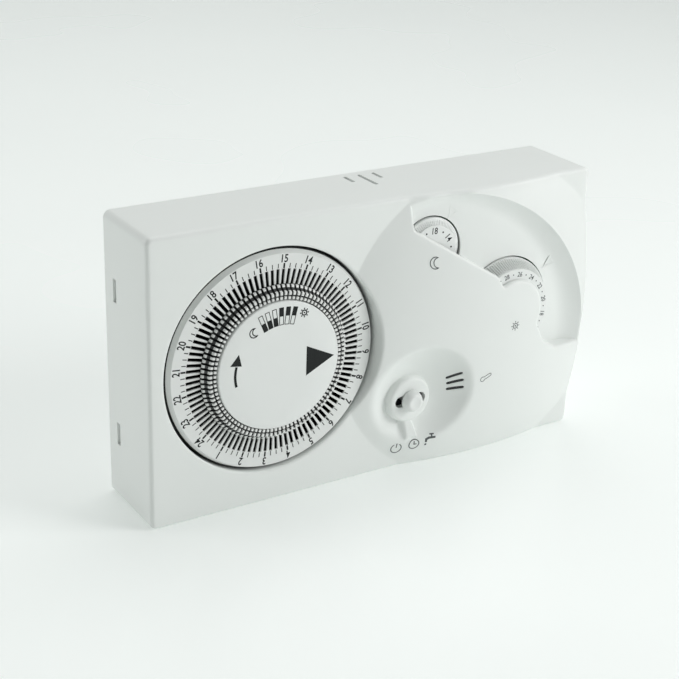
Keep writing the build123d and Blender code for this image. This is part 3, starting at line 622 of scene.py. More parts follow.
class Print:
    """Collects flat printed shapes and lays them on a surface as one thin piece."""

    def __init__(self, name: str, finish: Finish, depth: Callable[[float, float], float],
                 proud: float = 0.03) -> None:
        """Starts an empty print.

        Args:
            name: the piece's name.
            finish: its ink.
            depth: depth out from the wall in mm at a point of the front plane.
            proud: how far the ink stands off the surface in mm.
        """
        self.name = name
        self.finish = finish
        self.depth = depth
        self.proud = proud
        self.points: list[Point] = []
        self.faces: list[list[int]] = []

    def shape(self, points: Sequence[Point], faces: Sequence[Sequence[int]],
              centre: Point = (0.0, 0.0), turned: float = 0.0, wide: float = 1.0) -> None:
        """Adds a flat shape.

        Args:
            points: its points in mm about its own middle.
            faces: its faces.
            centre: where its middle goes.
            turned: degrees anticlockwise.
            wide: stretch across, before turning.
        """
        start = len(self.points)
        self.points += placed([(x * wide, z) for x, z in points], centre, turned)
        self.faces += [[start + i for i in face] for face in faces]

    def area(self, outline: Sequence[Point], centre: Point = (0.0, 0.0),
             turned: float = 0.0) -> None:
        """Adds a filled convex or star-shaped outline as a fan about its middle."""
        points = list(outline)
        middle = (sum(p[0] for p in points) / len(points), sum(p[1] for p in points) / len(points))
        count = len(points)
        self.shape(points + [middle], [[i, (i + 1) % count, count] for i in range(count)],
                   centre, turned)

    def line(self, path: Sequence[Point], width: float, closed: bool = False,
             centre: Point = (0.0, 0.0), turned: float = 0.0) -> None:
        """Adds a stroke of even width along a path.

        Args:
            path: points in mm.
            width: stroke width in mm.
            closed: whether the last point joins the first.
            centre: where the path's origin goes.
            turned: degrees anticlockwise.
        """
        points = [Vector(p) for p in path]
        count = len(points)
        left, right = [], []
        for i, point in enumerate(points):
            before = points[i - 1] if closed or i > 0 else point
            after = points[(i + 1) % count] if closed or i < count - 1 else point
            way_in = (point - before).normalized() if (point - before).length else None
            way_out = (after - point).normalized() if (after - point).length else None
            ways = [w for w in (way_in, way_out) if w is not None]
            mean = sum(ways, Vector((0.0, 0.0))).normalized()
            across = Vector((-mean.y, mean.x))
            if len(ways) == 2:
                across /= max(0.45, across.dot(Vector((-ways[0].y, ways[0].x))))
            left.append(tuple(point + across * width / 2))
            right.append(tuple(point - across * width / 2))
        last = count if closed else count - 1
        faces = [[i, count + i, count + (i + 1) % count, (i + 1) % count] for i in range(last)]
        self.shape(left + right, faces, centre, turned)

    def figures(self, words: str, size: float, centre: Point, turned: float,
                wide: float = 0.8, bold: float = 0.02) -> None:
        """Adds figures of a size in mm, turned about their middle."""
        points, faces = text_outline(words, size, bold)
        self.shape([tuple(p) for p in points], faces, centre, turned, wide)

    def build(self) -> bpy.types.Object:
        """Makes the printed piece, facing the front and a hair thick."""
        front = [(x, -(self.depth(x, z) + self.proud), z) for x, z in self.points]
        back = [(x, y + self.proud * 0.9, z) for x, y, z in front]
        count = len(front)
        faces: list[list[int]] = []
        edges: dict[tuple[int, int], tuple[int, int]] = {}
        for face in self.faces:
            area = sum(self.points[a][0] * self.points[b][1] - self.points[b][0] * self.points[a][1]
                       for a, b in zip(face, face[1:] + face[:1]))
            way = face if area > 0 else face[::-1]
            faces.append(way)
            faces.append([i + count for i in way[::-1]])
            for a, b in zip(way, way[1:] + way[:1]):
                if (b, a) in edges:
                    del edges[(b, a)]
                else:
                    edges[(a, b)] = (a, b)
        faces += [[b, a, a + count, b + count] for a, b in edges]
        return make_piece(self.name, front + back, faces, self.finish)


# ---------------------------------------------------------------- Geometry Nodes
class RadialRepeat:
    """One node tree that repeats its input about an axis along the depth."""

    NAMES = (("Count", "INT"), ("Start", "FLOAT"), ("Step", "FLOAT"), ("Middle X", "FLOAT"),
             ("Middle Z", "FLOAT"), ("Size Jitter", "FLOAT"), ("Seed", "INT"),
             ("Finish", "MATERIAL"))

    def __init__(self) -> None:
        """Builds the tree."""
        self.tree = bpy.data.node_groups.new("radial_repeat", "GeometryNodeTree")
        faces = self.tree.interface
        faces.new_socket(name="Element", in_out="INPUT", socket_type="NodeSocketGeometry")
        self.ids: dict[str, str] = {}
        for name, kind in self.NAMES:
            label = {"INT": "Int", "FLOAT": "Float", "MATERIAL": "Material"}[kind]
            socket = faces.new_socket(name=name, in_out="INPUT",
                                      socket_type=f"NodeSocket{label}")
            self.ids[name] = socket.identifier
        faces.new_socket(name="Pieces", in_out="OUTPUT", socket_type="NodeSocketGeometry")
        self._wire()

    def _node(self, kind: str, settings: dict[str, Any], **values: Any) -> bpy.types.Node:
        """Adds a node with its settings, and sets or links its sockets by name."""
        node = self.tree.nodes.new(kind)
        for key, value in settings.items():
            setattr(node, key, value)
        for key, value in values.items():
            socket = node.inputs[key.replace("_", " ")]
            if isinstance(value, bpy.types.NodeSocket):
                self.tree.links.new(value, socket)
            else:
                socket.default_value = value
        return node

    def _math(self, operation: str, first: Any, second: Any) -> Any:
        """Adds a Math node and returns its output."""
        node = self.tree.nodes.new("ShaderNodeMath")
        node.operation = operation
        for socket, value in zip(node.inputs, (first, second)):
            if isinstance(value, bpy.types.NodeSocket):
                self.tree.links.new(value, socket)
            else:
                socket.default_value = value
        return node.outputs[0]

    def _wire(self) -> None:
        """Wires the points, the turn of each, the instances and the finish."""
        given = self.tree.nodes.new("NodeGroupInput").outputs
        points = self._node("GeometryNodeMeshLine", {"mode": "OFFSET"}, Count=given["Count"],
                            Offset=(0.0, 0.0, 0.0))
        index = self.tree.nodes.new("GeometryNodeInputIndex").outputs[0]
        turn = self._math("ADD", given["Start"], self._math("MULTIPLY", index, given["Step"]))
        angle = self._math("MULTIPLY", turn, -math.pi / 180)
        euler = self._node("ShaderNodeCombineXYZ", {}, Y=angle)
        rotation = self._node("FunctionNodeEulerToRotation", {}, Euler=euler.outputs[0])
        jitter = self._node("FunctionNodeRandomValue", {"data_type": "FLOAT"}, ID=index,
                            Seed=given["Seed"])
        low = [s for s in jitter.inputs if s.name == "Min" and s.type == "VALUE"][0]
        high = [s for s in jitter.inputs if s.name == "Max" and s.type == "VALUE"][0]
        self.tree.links.new(self._math("SUBTRACT", 1.0, given["Size Jitter"]), low)
        self.tree.links.new(self._math("ADD", 1.0, given["Size Jitter"]), high)
        value = [s for s in jitter.outputs if s.type == "VALUE"][0]
        scale = self._node("ShaderNodeCombineXYZ", {}, X=1.0, Y=1.0, Z=value)
        placed = self._node("GeometryNodeInstanceOnPoints", {}, Points=points.outputs[0],
                            Instance=given["Element"], Rotation=rotation.outputs[0],
                            Scale=scale.outputs[0])
        real = self._node("GeometryNodeRealizeInstances", {}, Geometry=placed.outputs[0])
        middle = self._node("ShaderNodeCombineXYZ", {}, X=given["Middle X"],
                            Z=given["Middle Z"])
        moved = self._node("GeometryNodeTransform", {}, Geometry=real.outputs[0],
                           Translation=middle.outputs[0])
        dressed = self._node("GeometryNodeSetMaterial", {}, Geometry=moved.outputs[0],
                             Material=given["Finish"])
        output = self.tree.nodes.new("NodeGroupOutput")
        self.tree.links.new(dressed.outputs[0], output.inputs[0])

    def repeat(self, name: str, element: bpy.types.Object, finish: Finish, centre: Point,
               count: int, start: float, step: float, jitter: float = 0.0,
               seed: int = 0) -> bpy.types.Object:
        """Repeats an element and turns the result into one plain mesh.

        Args:
            name: the new piece's name.
            element: one element, placed at angle 0 about the origin's depth axis.
            finish: the finish of all of them.
            centre: the axis in the front plane, in mm.
            count: how many.
            start: angle of the first in degrees.
            step: angle from one to the next.
            jitter: how much the width may differ, as a share.
            seed: fixed seed of the jitter.

        Returns:
            The piece, at the origin.
        """
        holder = bpy.data.objects.new(name, element.data.copy())
        bpy.context.scene.collection.objects.link(holder)
        modifier = holder.modifiers.new("repeat", "NODES")
        modifier.node_group = self.tree
        values = {"Count": count, "Start": start, "Step": step, "Middle X": centre[0] * MM,
                  "Middle Z": centre[1] * MM, "Size Jitter": jitter, "Seed": seed,
                  "Finish": finish.material()}
        for key, value in values.items():
            modifier[self.ids[key]] = value
        mesh = bpy.data.meshes.new_from_object(
            holder.evaluated_get(bpy.context.evaluated_depsgraph_get()))
        holder.modifiers.clear()
        holder.data = mesh
        mesh.name = name
        dress(holder, finish, 35.0)
        return holder


def drop(piece: bpy.types.Object) -> None:
    """Removes a helper piece."""
    bpy.data.objects.remove(piece)


# ---------------------------------------------------------------- the front's relief
@dataclass
class Relief:
    """Depth of the front out from the wall, in mm, at any point of the front plane."""

    flat: float = 27.0
    dome_at: Point = (34.8, 0.0)
    dome_foot: float = 49.0
    dome_rise: float = 8.98
    floor_foot: float = 44.0
    floor_rise: float = 2.6
    scoop_at: Point = (20.7, -9.9)
    scoop_r: float = 51.6
    scoop_blend: float = 3.0
    scoop_blend_right: float = 8.0
    lip: float = 0.9
    wall: float = 0.14
    bowl_at: Point = (12.4, -18.1)
    bowl_r: float = 16.0
    bowl_sag: float = 5.4
    island_at: Point = (9.8, -19.9)
    island_r: float = 7.1
    island_top: float = 29.4
    island_edge: float = 0.9
    dial_at: Point = (-35.35, 0.85)
    opening_r: float = 33.4
    opening_edge: float = 0.65
    comfort_at: Point = (42.0, 3.7)
    path: np.ndarray = field(init=False, repr=False)
    normals: np.ndarray = field(init=False, repr=False)

    def __post_init__(self) -> None:
        """Works out the spheres and the shield panel's edge."""
        self.dome_ball = (self.dome_foot**2 + self.dome_rise**2) / (2 * self.dome_rise)
        self.floor_ball = (self.floor_foot**2 + self.floor_rise**2) / (2 * self.floor_rise)
        ball = (self.bowl_r**2 + self.bowl_sag**2) / (2 * self.bowl_sag)
        reach = ((math.sqrt(self.dome_ball**2 - self.bowl_r**2) + ball - self.bowl_sag)
                 / self.dome_ball)
        side = (self.bowl_at[0] - self.dome_at[0], self.bowl_at[1] - self.dome_at[1])
        out = math.sqrt(self.dome_ball**2 - side[0]**2 - side[1]**2)
        self.bowl_ball = ball
        self.bowl_middle = (self.dome_at[0] + side[0] * reach, self.dome_at[1] + side[1] * reach)
        self.bowl_depth = self.flat + self.dome_rise - self.dome_ball + out * reach
        self.path = self._shield_path()
        along = np.gradient(self.path, axis=0)
        along /= np.linalg.norm(along, axis=1)[:, None]
        self.normals = np.stack((-along[:, 1], along[:, 0]), axis=1)

    def _shield_path(self) -> np.ndarray:
        """The shield panel's edge as close points, with softened corners."""
        corners = [(8.4, 46.0), (8.4, 33.0), (35.4, 16.2)]
        corners += [polar(self.comfort_at, 10.3, 118.0 - 6.0 * i) for i in range(25)]
        corners += [polar(self.comfort_at, 10.3, -28.0), (54.6, -7.6), (60.5, -11.4), (78.0, -12.9)]
        points: list[np.ndarray] = []
        for first, last in zip(corners, corners[1:]):
            a, b = np.array(first), np.array(last)
            steps = max(1, round(float(np.linalg.norm(b - a)) / 0.3))
            points += [a + (b - a) * i / steps for i in range(steps)]
        points.append(np.array(corners[-1]))
        path = np.array(points)
        for _ in range(6):
            path[1:-1] = (path[:-2] + 2 * path[1:-1] + path[2:]) / 4
        return path

    @staticmethod
    def reach(points: np.ndarray, centre: Point) -> np.ndarray:
        """Distances of points from a centre in the front plane."""
        return np.hypot(points[:, 0] - centre[0], points[:, 1] - centre[1])

    def side(self, points: np.ndarray) -> np.ndarray:
        """Signed distance to the shield's edge: above 0 in the scoop, below 0 on the panel."""
        result = np.empty(len(points))
        a, b = self.path[:-1], self.path[1:]
        way = b - a
        length = (way**2).sum(axis=1)
        for first in range(0, len(points), 4000):
            p = points[first:first + 4000, None, :]
            share = np.clip(((p - a) * way).sum(axis=2) / length, 0.0, 1.0)
            away = p - (a + share[..., None] * way)
            gap = (away**2).sum(axis=2)
            nearest = gap.argmin(axis=1)
            row = np.arange(len(nearest))
            vector = away[row, nearest]
            cross = way[nearest, 0] * vector[:, 1] - way[nearest, 1] * vector[:, 0]
            result[first:first + 4000] = np.sqrt(gap[row, nearest]) * np.where(cross > 0, 1, -1)
        return result

    def _round(self, reach: np.ndarray, radius: float) -> np.ndarray:
        """How far a rounded edge has dropped when it is reach mm into its radius."""
        into = np.clip(reach, 0.0, radius)
        return radius - np.sqrt(np.maximum(radius**2 - into**2, 0.0))

    def _soft_min(self, a: np.ndarray, b: np.ndarray, width: float) -> np.ndarray:
        """The lower of two depths with a rounded crossing."""
        near = np.clip(width - np.abs(a - b), 0.0, None) / width
        return np.minimum(a, b) - near**2 * width / 4

    def depth(self, points: np.ndarray, plain: bool = False) -> np.ndarray:
        """Depth of the surface.

        Args:
            points: (n, 2) points in mm.
            plain: leave out rounded lips, for the inner face of the wall.

        Returns:
            Depths out from the wall in mm.
        """
        x, z = points[:, 0], points[:, 1]
        r2 = (x - self.dome_at[0])**2 + (z - self.dome_at[1])**2
        top = self.flat + self.dome_rise
        dome = top - self.dome_ball + np.sqrt(np.maximum(self.dome_ball**2 - r2, 0.0))
        shell = -self._soft_min(-dome, np.full_like(dome, -self.flat), 0.12)
        floor = self.flat + self.floor_rise - self.floor_ball
        floor = floor + np.sqrt(np.maximum(self.floor_ball**2 - r2, 0.0))
        floor = -self._soft_min(-floor, np.full_like(floor, -self.flat), 0.3)
        sx, sz = x - self.scoop_at[0], z - self.scoop_at[1]
        inside = self.scoop_r - np.hypot(sx, sz)
        right = np.clip(np.cos(np.arctan2(sz, sx)), 0.0, 1.0)
        width = self.scoop_blend + (self.scoop_blend_right - self.scoop_blend) * right**0.7
        blend = np.clip(1.0 - inside / width, 0.0, 1.0)**2.1
        scooped = floor + np.maximum(shell - floor, 0.0) * blend
        d = self.side(points)
        fall = self._round(d + self.lip, self.lip) * (0.0 if plain else 1.0)
        panel = shell - fall - np.clip(d / self.wall, 0.0, 1.0) * 14.0
        depth = np.where(inside > 0, np.maximum(panel, scooped), shell)
        rho2 = (x - self.bowl_middle[0])**2 + (z - self.bowl_middle[1])**2
        cup = np.where(rho2 < self.bowl_ball**2, self.bowl_depth
                       - np.sqrt(np.maximum(self.bowl_ball**2 - rho2, 0.0)), 99.0)
        depth = self._soft_min(depth, cup, 1.1)
        depth = np.maximum(depth, self._rib(x, z, depth))
        ri = np.hypot(x - self.island_at[0], z - self.island_at[1])
        island = self.island_top - self._round(ri - self.island_r + self.island_edge,
                                               self.island_edge)
        island = island - np.clip(ri - self.island_r, 0.0, None) * 5.0
        depth = -self._soft_min(-depth, -island, 0.5)
        if not plain:
            rd = np.hypot(x - self.dial_at[0], z - self.dial_at[1])
            depth = depth - self._round(self.opening_r + self.opening_edge - rd,
                                        self.opening_edge)
        return depth

    def _rib(self, x: np.ndarray, z: np.ndarray, under: np.ndarray) -> np.ndarray:
        """The moulded rib from the island down to the bowl's rim."""
        along = np.clip((-26.6 - z) / 7.6, 0.0, 1.0)
        middle = 9.7 + 1.6 * along
        half = 1.5 + 0.75 * along
        crown = 28.6 + 1.7 * along
        out = np.abs(x - middle) - half
        rib = crown - np.clip(out + 0.5, 0.0, None)**1.5 * np.where(x < middle, 0.7, 3.0)
        rib = rib - np.clip(-32.3 - z, 0.0, None)**1.5 * 2.0
        return np.where((z < -25.5) & (z > -36.5), np.minimum(rib, under + 2.4), -99.0)

    def at(self, x: float, z: float) -> float:
        """Depth at one point."""
        return float(self.depth(np.array([[x, z]]))[0])


# ---------------------------------------------------------------- the front cover
@dataclass
class FrontCover:
    """The white front cover as one closed shell, with its prints."""

    relief: Relief
    width: float
    height: float
    wheels: tuple[tuple[Point, float], ...]
    edge: float = 1.3
    corner: float = 2.0
    thickness: float = 1.8
    grid: float = 1.1
    slot: tuple[float, float] = (10.6, 3.6)
    sensor_deg: tuple[float, ...] = (2.0, 10.6, 19.2)
    sensor_r: float = 15.1
    sensor_shift: Point = (-0.4, 0.95)
    sensor_size: tuple[float, float] = (4.5, 0.95)
    sensor_turn: float = 13.0
    vents: tuple[tuple[float, float, float], ...] = ((0.8, 2.9, 8.5), (5.6, 2.9, 13.4),
                                                     (10.5, 2.9, 8.5))
    vent_width: float = 1.2
    latch_z: float = 21.5
    latch_half: float = 3.4
    pockets: tuple[tuple[float, float, float], ...] = ((7.9, 29.4, 28.0), (13.3, 33.8, 29.4))

    def outline(self, inset: float) -> list[Point]:
        """The case outline, moved in by inset, as close points."""
        half_w, half_h = self.width / 2 - inset, self.height / 2 - inset
        radius = max(self.corner - inset, 0.25)
        points: list[Point] = []
        corners = [(sx * (half_w - radius), sz * (half_h - radius))
                   for sx, sz in ((1, 1), (-1, 1), (-1, -1), (1, -1))]
        for quarter, centre in enumerate(corners):
            first = 90.0 * quarter
            points += [polar(centre, radius, first + 90.0 * i / 8) for i in range(9)]
            last = points[-1]
            goal = polar(corners[(quarter + 1) % 4], radius, first + 90.0)
            steps = round((self.height if quarter % 2 else self.width) / self.grid)
            points += [(last[0] + (goal[0] - last[0]) * i / steps,
                        last[1] + (goal[1] - last[1]) * i / steps) for i in range(1, steps)]
        return points

    def _sensor_middle(self, degrees: float) -> Point:
        """The middle of the sensor slot at an angle about the switch's island."""
        at = polar(self.relief.island_at, self.sensor_r, degrees)
        return (at[0] + self.sensor_shift[0], at[1] + self.sensor_shift[1])

    def sensor_outline(self, degrees: float, shift: float) -> list[Point]:
        """The outline of a sensor slot, moved out by shift."""
        length, width = self.sensor_size
        return stadium(self._sensor_middle(degrees), length + 2 * shift, width + 2 * shift,
                       degrees + self.sensor_turn, 6)

    def sensor_slot_shade(self) -> bpy.types.Object:
        """Makes dark sheets a little below the surface in the sensor slots, as painted shade inside
        them.
        """
        verts: list[tuple[float, float, float]] = []
        faces: list[list[int]] = []
        for degrees in self.sensor_deg:
            outline = self.sensor_outline(degrees, -0.01)
            self._prism(verts, faces, [[(x, -self.relief.at(x, z) + down, z)
                                        for x, z in outline] for down in (0.25, 1.5)])
        return make_piece("sensor_slot_shade", verts, faces, Finish.DARK)

    def _lines(self) -> list[tuple[np.ndarray, bool]]:
        """Every line that the mesh has to follow, with whether it is closed."""
        r = self.relief
        lines: list[tuple[np.ndarray, bool]] = []
        for radius in (0.0, 0.08, 0.2, 0.38, 0.65, 1.3):
            lines.append((np.array(ring(r.dial_at, r.opening_r + radius, 240)), True))
        for shift in (-1.7, -0.9, -0.72, -0.5, -0.28, -0.1, 0.0, 0.14, 0.5):
            lines.append((r.path + r.normals * shift, False))
        for shift in (-0.25, 0.0, 0.25):
            lines.append((np.array(ring(r.dome_at, r.dome_foot + shift, 300)), True))
        for shift in (0.4, 0.0, -0.5, -1.2, -2.2):
            lines.append((np.array(ring(r.scoop_at, r.scoop_r + shift, 300)), True))
        for radius in (12.0, 13.0, 14.0, 14.8, 15.5, 16.2, 17.0, 18.0):
            lines.append((np.array(ring(r.bowl_at, radius, 110)), True))
        for shift in (-1.4, -0.9, -0.6, -0.3, -0.1, 0.05, 0.2, 0.4, 0.75, 1.3):
            lines.append((np.array(ring(r.island_at, r.island_r + shift, 90)), True))
        for shift in (0.0, 0.35):
            outline = stadium(r.island_at, self.slot[0] + 2 * shift, self.slot[1] + 2 * shift, 0.0)
            lines.append((np.array(outline), True))
        for degrees in self.sensor_deg:
            for shift in (0.0, 0.25):
                lines.append((np.array(self.sensor_outline(degrees, shift)), True))
        for side in (-1, 1):
            for out in (-0.5, 0.0, 0.4):
                lines.append((np.array([(9.7 + side * (1.5 + out), -26.9),
                                        (10.5 + side * (1.9 + out), -30.7),
                                        (11.3 + side * (2.25 + out), -34.2)]), False))
        for centre, radius in self.wheels:
            for shift in (0.0, 0.4):
                lines.append((np.array(ring(centre, radius + shift, 150)), True))
        return lines

    def _in_slot(self, points: np.ndarray, centre: Point, length: float, width: float,
                 turned: float) -> np.ndarray:
        """Which points lie in a slot with round ends."""
        cos, sin = math.cos(math.radians(turned)), math.sin(math.radians(turned))
        x, z = points[:, 0] - centre[0], points[:, 1] - centre[1]
        u, v = x * cos + z * sin, -x * sin + z * cos
        half = length / 2 - width / 2
        return np.hypot(np.maximum(np.abs(u) - half, 0.0), v) < width / 2

    def _open(self, points: np.ndarray) -> np.ndarray:
        """Which points lie in an opening of the cover."""
        r = self.relief
        found = r.reach(points, r.dial_at) < r.opening_r - 0.005
        found |= self._in_slot(points, r.island_at, *self.slot, 0.0)
        for degrees in self.sensor_deg:
            found |= self._in_slot(points, self._sensor_middle(degrees), *self.sensor_size,
                                   degrees + self.sensor_turn)
        scooped = r.side(points) > 0
        for centre, radius in self.wheels:
            near = r.reach(points, centre) < radius - 0.003
            found |= near & scooped
        return found

    def _triangles(self) -> tuple[np.ndarray, list[list[int]], list[int]]:
        """Cuts the front into triangles along its lines.

        Returns:
            Points in mm, faces, and the indices of the outline in order.
        """
        half_w, half_h = self.width / 2 - self.edge, self.height / 2 - self.edge
        verts: list[Point] = list(self.outline(self.edge))
        count = len(verts)
        edges = [(i, (i + 1) % count) for i in range(count)]
        fixed = [np.array(verts)]
        for line, closed in self._lines():
            keep = (np.abs(line[:, 0]) < half_w - 0.05) & (np.abs(line[:, 1]) < half_h - 0.05)
            number = np.full(len(line), -1)
            number[keep] = np.arange(len(verts), len(verts) + int(keep.sum()))
            verts += [tuple(p) for p in line[keep]]
            fixed.append(line[keep])
            last = len(line) if closed else len(line) - 1
            for i in range(last):
                j = (i + 1) % len(line)
                if number[i] >= 0 and number[j] >= 0:
                    edges.append((int(number[i]), int(number[j])))
        taken = np.concatenate(fixed)
        cells = {(round(x / 0.5), round(z / 0.5)) for x, z in taken}
        columns = np.arange(-half_w + self.grid, half_w - self.grid / 2, self.grid)
        rows = np.arange(-half_h + self.grid, half_h - self.grid / 2, self.grid * 0.87)
        for j, z in enumerate(rows):
            for x in columns + (self.grid / 2 if j % 2 else 0.0):
                cell = (round(x / 0.5), round(z / 0.5))
                free = all((cell[0] + a, cell[1] + b) not in cells
                           for a in (-1, 0, 1) for b in (-1, 0, 1))
                if free and abs(x) < half_w - 0.6:
                    verts.append((float(x), float(z)))
        cut = delaunay_2d_cdt([Vector(v) for v in verts], edges, [], 0, 1e-4)
        points = np.array([tuple(v) for v in cut[0]])
        corners = np.array([list(f) for f in cut[2]])
        middles = points[corners].mean(axis=1)
        keep = ~self._open(middles)
        faces = corners[keep]
        a, b, c = points[faces[:, 0]], points[faces[:, 1]], points[faces[:, 2]]
        area = (b[:, 0] - a[:, 0]) * (c[:, 1] - a[:, 1]) - (b[:, 1] - a[:, 1]) * (c[:, 0] - a[:, 0])
        faces = np.where((area < 0)[:, None], faces[:, ::-1], faces)[np.abs(area) > 1e-7]
        used = np.unique(faces)
        number = np.full(len(points), -1)
        number[used] = np.arange(len(used))
        order = {old: new for new, origins in enumerate(cut[3]) for old in origins}
        rim = [int(number[order[i]]) for i in range(count)]
        return points[used], number[faces].tolist(), rim

    def build(self) -> bpy.types.Object:
        """Makes the closed shell, with vents and latch windows cut through its sides."""
        points, faces, rim = self._triangles()
        depth = self.relief.depth(points)
        inner = np.minimum(self.relief.depth(points, True) - self.thickness, depth - 0.5)
        away = self.relief.reach(points, self.relief.dial_at)
        inner = np.where(away < self.relief.opening_r + 1.0, 21.0, inner)
        inner = self._pocketed(points, depth, inner)
        count = len(points)
        verts = [(x, -d, z) for (x, z), d in zip(points, depth)]
        verts += [(x, -d, z) for (x, z), d in zip(points, inner)]
        every = [list(f) for f in faces] + [[i + count for i in f[::-1]] for f in faces]
        edges: set[tuple[int, int]] = set()
        for face in faces:
            for a, b in zip(face, face[1:] + face[:1]):
                if (b, a) in edges:
                    edges.remove((b, a))
                else:
                    edges.add((a, b))
        around = set(zip(rim, rim[1:] + rim[:1])) | set(zip(rim[1:] + rim[:1], rim))
        every += [[b, a, a + count, b + count] for a, b in edges if (a, b) not in around]
        top = depth[rim]
        rows = [rim]
        for step in range(1, 7):
            turn = math.radians(15.0 * step)
            rows.append(self._row(verts, self.edge * (1 - math.sin(turn)),
                                  top - self.edge * (1 - math.cos(turn))))
        rows.append(self._row(verts, 0.0, np.full(len(rim), 13.0)))
        rows.append(self._row(verts, 0.0, np.full(len(rim), 0.35)))
        rows.append(self._row(verts, 0.35, np.zeros(len(rim))))
        rows.append(self._row(verts, 2.0, np.zeros(len(rim))))
        rows.append(self._row(verts, 2.0, inner[rim] - 0.4))
        rows.append([i + count for i in rim])
        for upper, lower in zip(rows, rows[1:]):
            for i in range(len(rim)):
                j = (i + 1) % len(rim)
                every.append([upper[i], lower[i], lower[j], upper[j]])
        cover = make_piece("front_cover_shell", verts, every, Finish.CASE, 38.0)
        self._cut(cover)
        dress(cover, Finish.CASE, 38.0)
        return cover

    def _pocketed(self, points: np.ndarray, depth: np.ndarray, inner: np.ndarray) -> np.ndarray:
        """Hollows the inner face over the thumb wheels, so that they turn clear of it.

        Args:
            points: (n, 2) points in mm.
            depth: depths of the outer face.
            inner: depths of the inner face.

        Returns:
            The new depths of the inner face.
        """
        for (centre, radius), (face_r, face, rim) in zip(self.wheels, self.pockets):
            reach = self.relief.reach(points, centre)
            share = np.clip((reach - face_r - 0.3) / (radius - face_r - 0.3), 0.0, 1.0)
            pocket = np.minimum(face + 0.25 - (face - rim) * share, depth - 0.15)
            inner = np.where(reach < radius + 0.2, np.maximum(inner, pocket), inner)
        return inner

    def _row(self, verts: list, inset: float, depths: np.ndarray) -> list[int]:
        """Adds one row of the outline at an inset and returns its indices."""
        start = len(verts)
        verts += [(x, -float(d), z) for (x, z), d in zip(self.outline(inset), depths)]
        return list(range(start, len(verts)))

    def _cut(self, cover: bpy.types.Object) -> None:
        """Cuts the three top vents and the four latch windows."""
        verts: list[tuple[float, float, float]] = []
        faces: list[list[int]] = []
        for x, near, far in self.vents:
            outline = stadium((x, (near + far) / 2), far - near, self.vent_width, 90.0)
            self._prism(verts, faces, [[(px, -py, z) for px, py in outline]
                                       for z in (self.height / 2 - 4.0, self.height / 2 + 2.0)])
        for side in (-1, 1):
            for z in (-self.latch_z, self.latch_z):
                low, high = z - self.latch_half, z + self.latch_half
                corners = [(5.6, low), (7.6, low), (7.6, high), (5.6, high)]
                self._prism(verts, faces, [[(side * (self.width / 2 + out), -d, h)
                                            for d, h in corners] for out in (-3.4, 1.0)])
        cutter = make_piece("cutter", verts, faces, Finish.CASE)
        modifier = cover.modifiers.new("cut", "BOOLEAN")
        modifier.operation = "DIFFERENCE"
        modifier.solver = "EXACT"
        modifier.object = cutter
        mesh = bpy.data.meshes.new_from_object(
            cover.evaluated_get(bpy.context.evaluated_depsgraph_get()))
        cover.modifiers.clear()
        cover.data = mesh
        drop(cutter)

    def _prism(self, verts: list, faces: list, rings: list[list]) -> None:
        """Adds a closed prism between two like outlines, with its faces outward."""
        start, count = len(verts), len(rings[0])
        verts += rings[0] + rings[1]
        shape = [Vector(v) for v in rings[0]]
        up = Vector(rings[1][0]) - shape[0]
        normal = (shape[1] - shape[0]).cross(shape[count // 2] - shape[0])
        low = list(range(start, start + count))
        high = [i + count for i in low]
        sides = [[low[i], low[(i + 1) % count], high[(i + 1) % count], high[i]]
                 for i in range(count)]
        group = [low[::-1], high] + sides
        faces += group if normal.dot(up) > 0 else [g[::-1] for g in group]

    def prints(self) -> bpy.types.Object:
        """Makes the small grey signs on the panel and under the bowl."""
        sheet = Print("panel_signs", Finish.GREY_INK, self.relief.at, 0.06)
        Sign.moon(sheet, (13.9, 23.4), 3.4, 0.24)
        Sign.sun(sheet, (42.0, 0.0), 2.9, 0.2)
        Sign.power(sheet, (6.3, -35.6), 3.2, 0.27)
        Sign.clock(sheet, (11.9, -35.0), 3.2, 0.27)
        Sign.tap(sheet, (17.1, -34.0), 3.7, 0.4)
        Sign.thermometer(sheet, (32.9, -15.1), 4.0, 0.18)
        return sheet.build()

    def pointers(self) -> bpy.types.Object:
        """Makes the two raised outline pointers in the scoop, aimed at the wheels."""
        sheet = Print("scoop_pointers", Finish.CASE, self.relief.at, 0.07)
        for centre, wheel in (((22.0, 35.8), self.wheels[0][0]), ((58.4, 14.9), self.wheels[1][0])):
            way = math.degrees(math.atan2(wheel[1] - centre[1], wheel[0] - centre[0]))
            sheet.line([(1.9, 0.0), (-1.5, 1.5), (-1.5, -1.5)], 0.4, True, centre, way)
        return sheet.build()


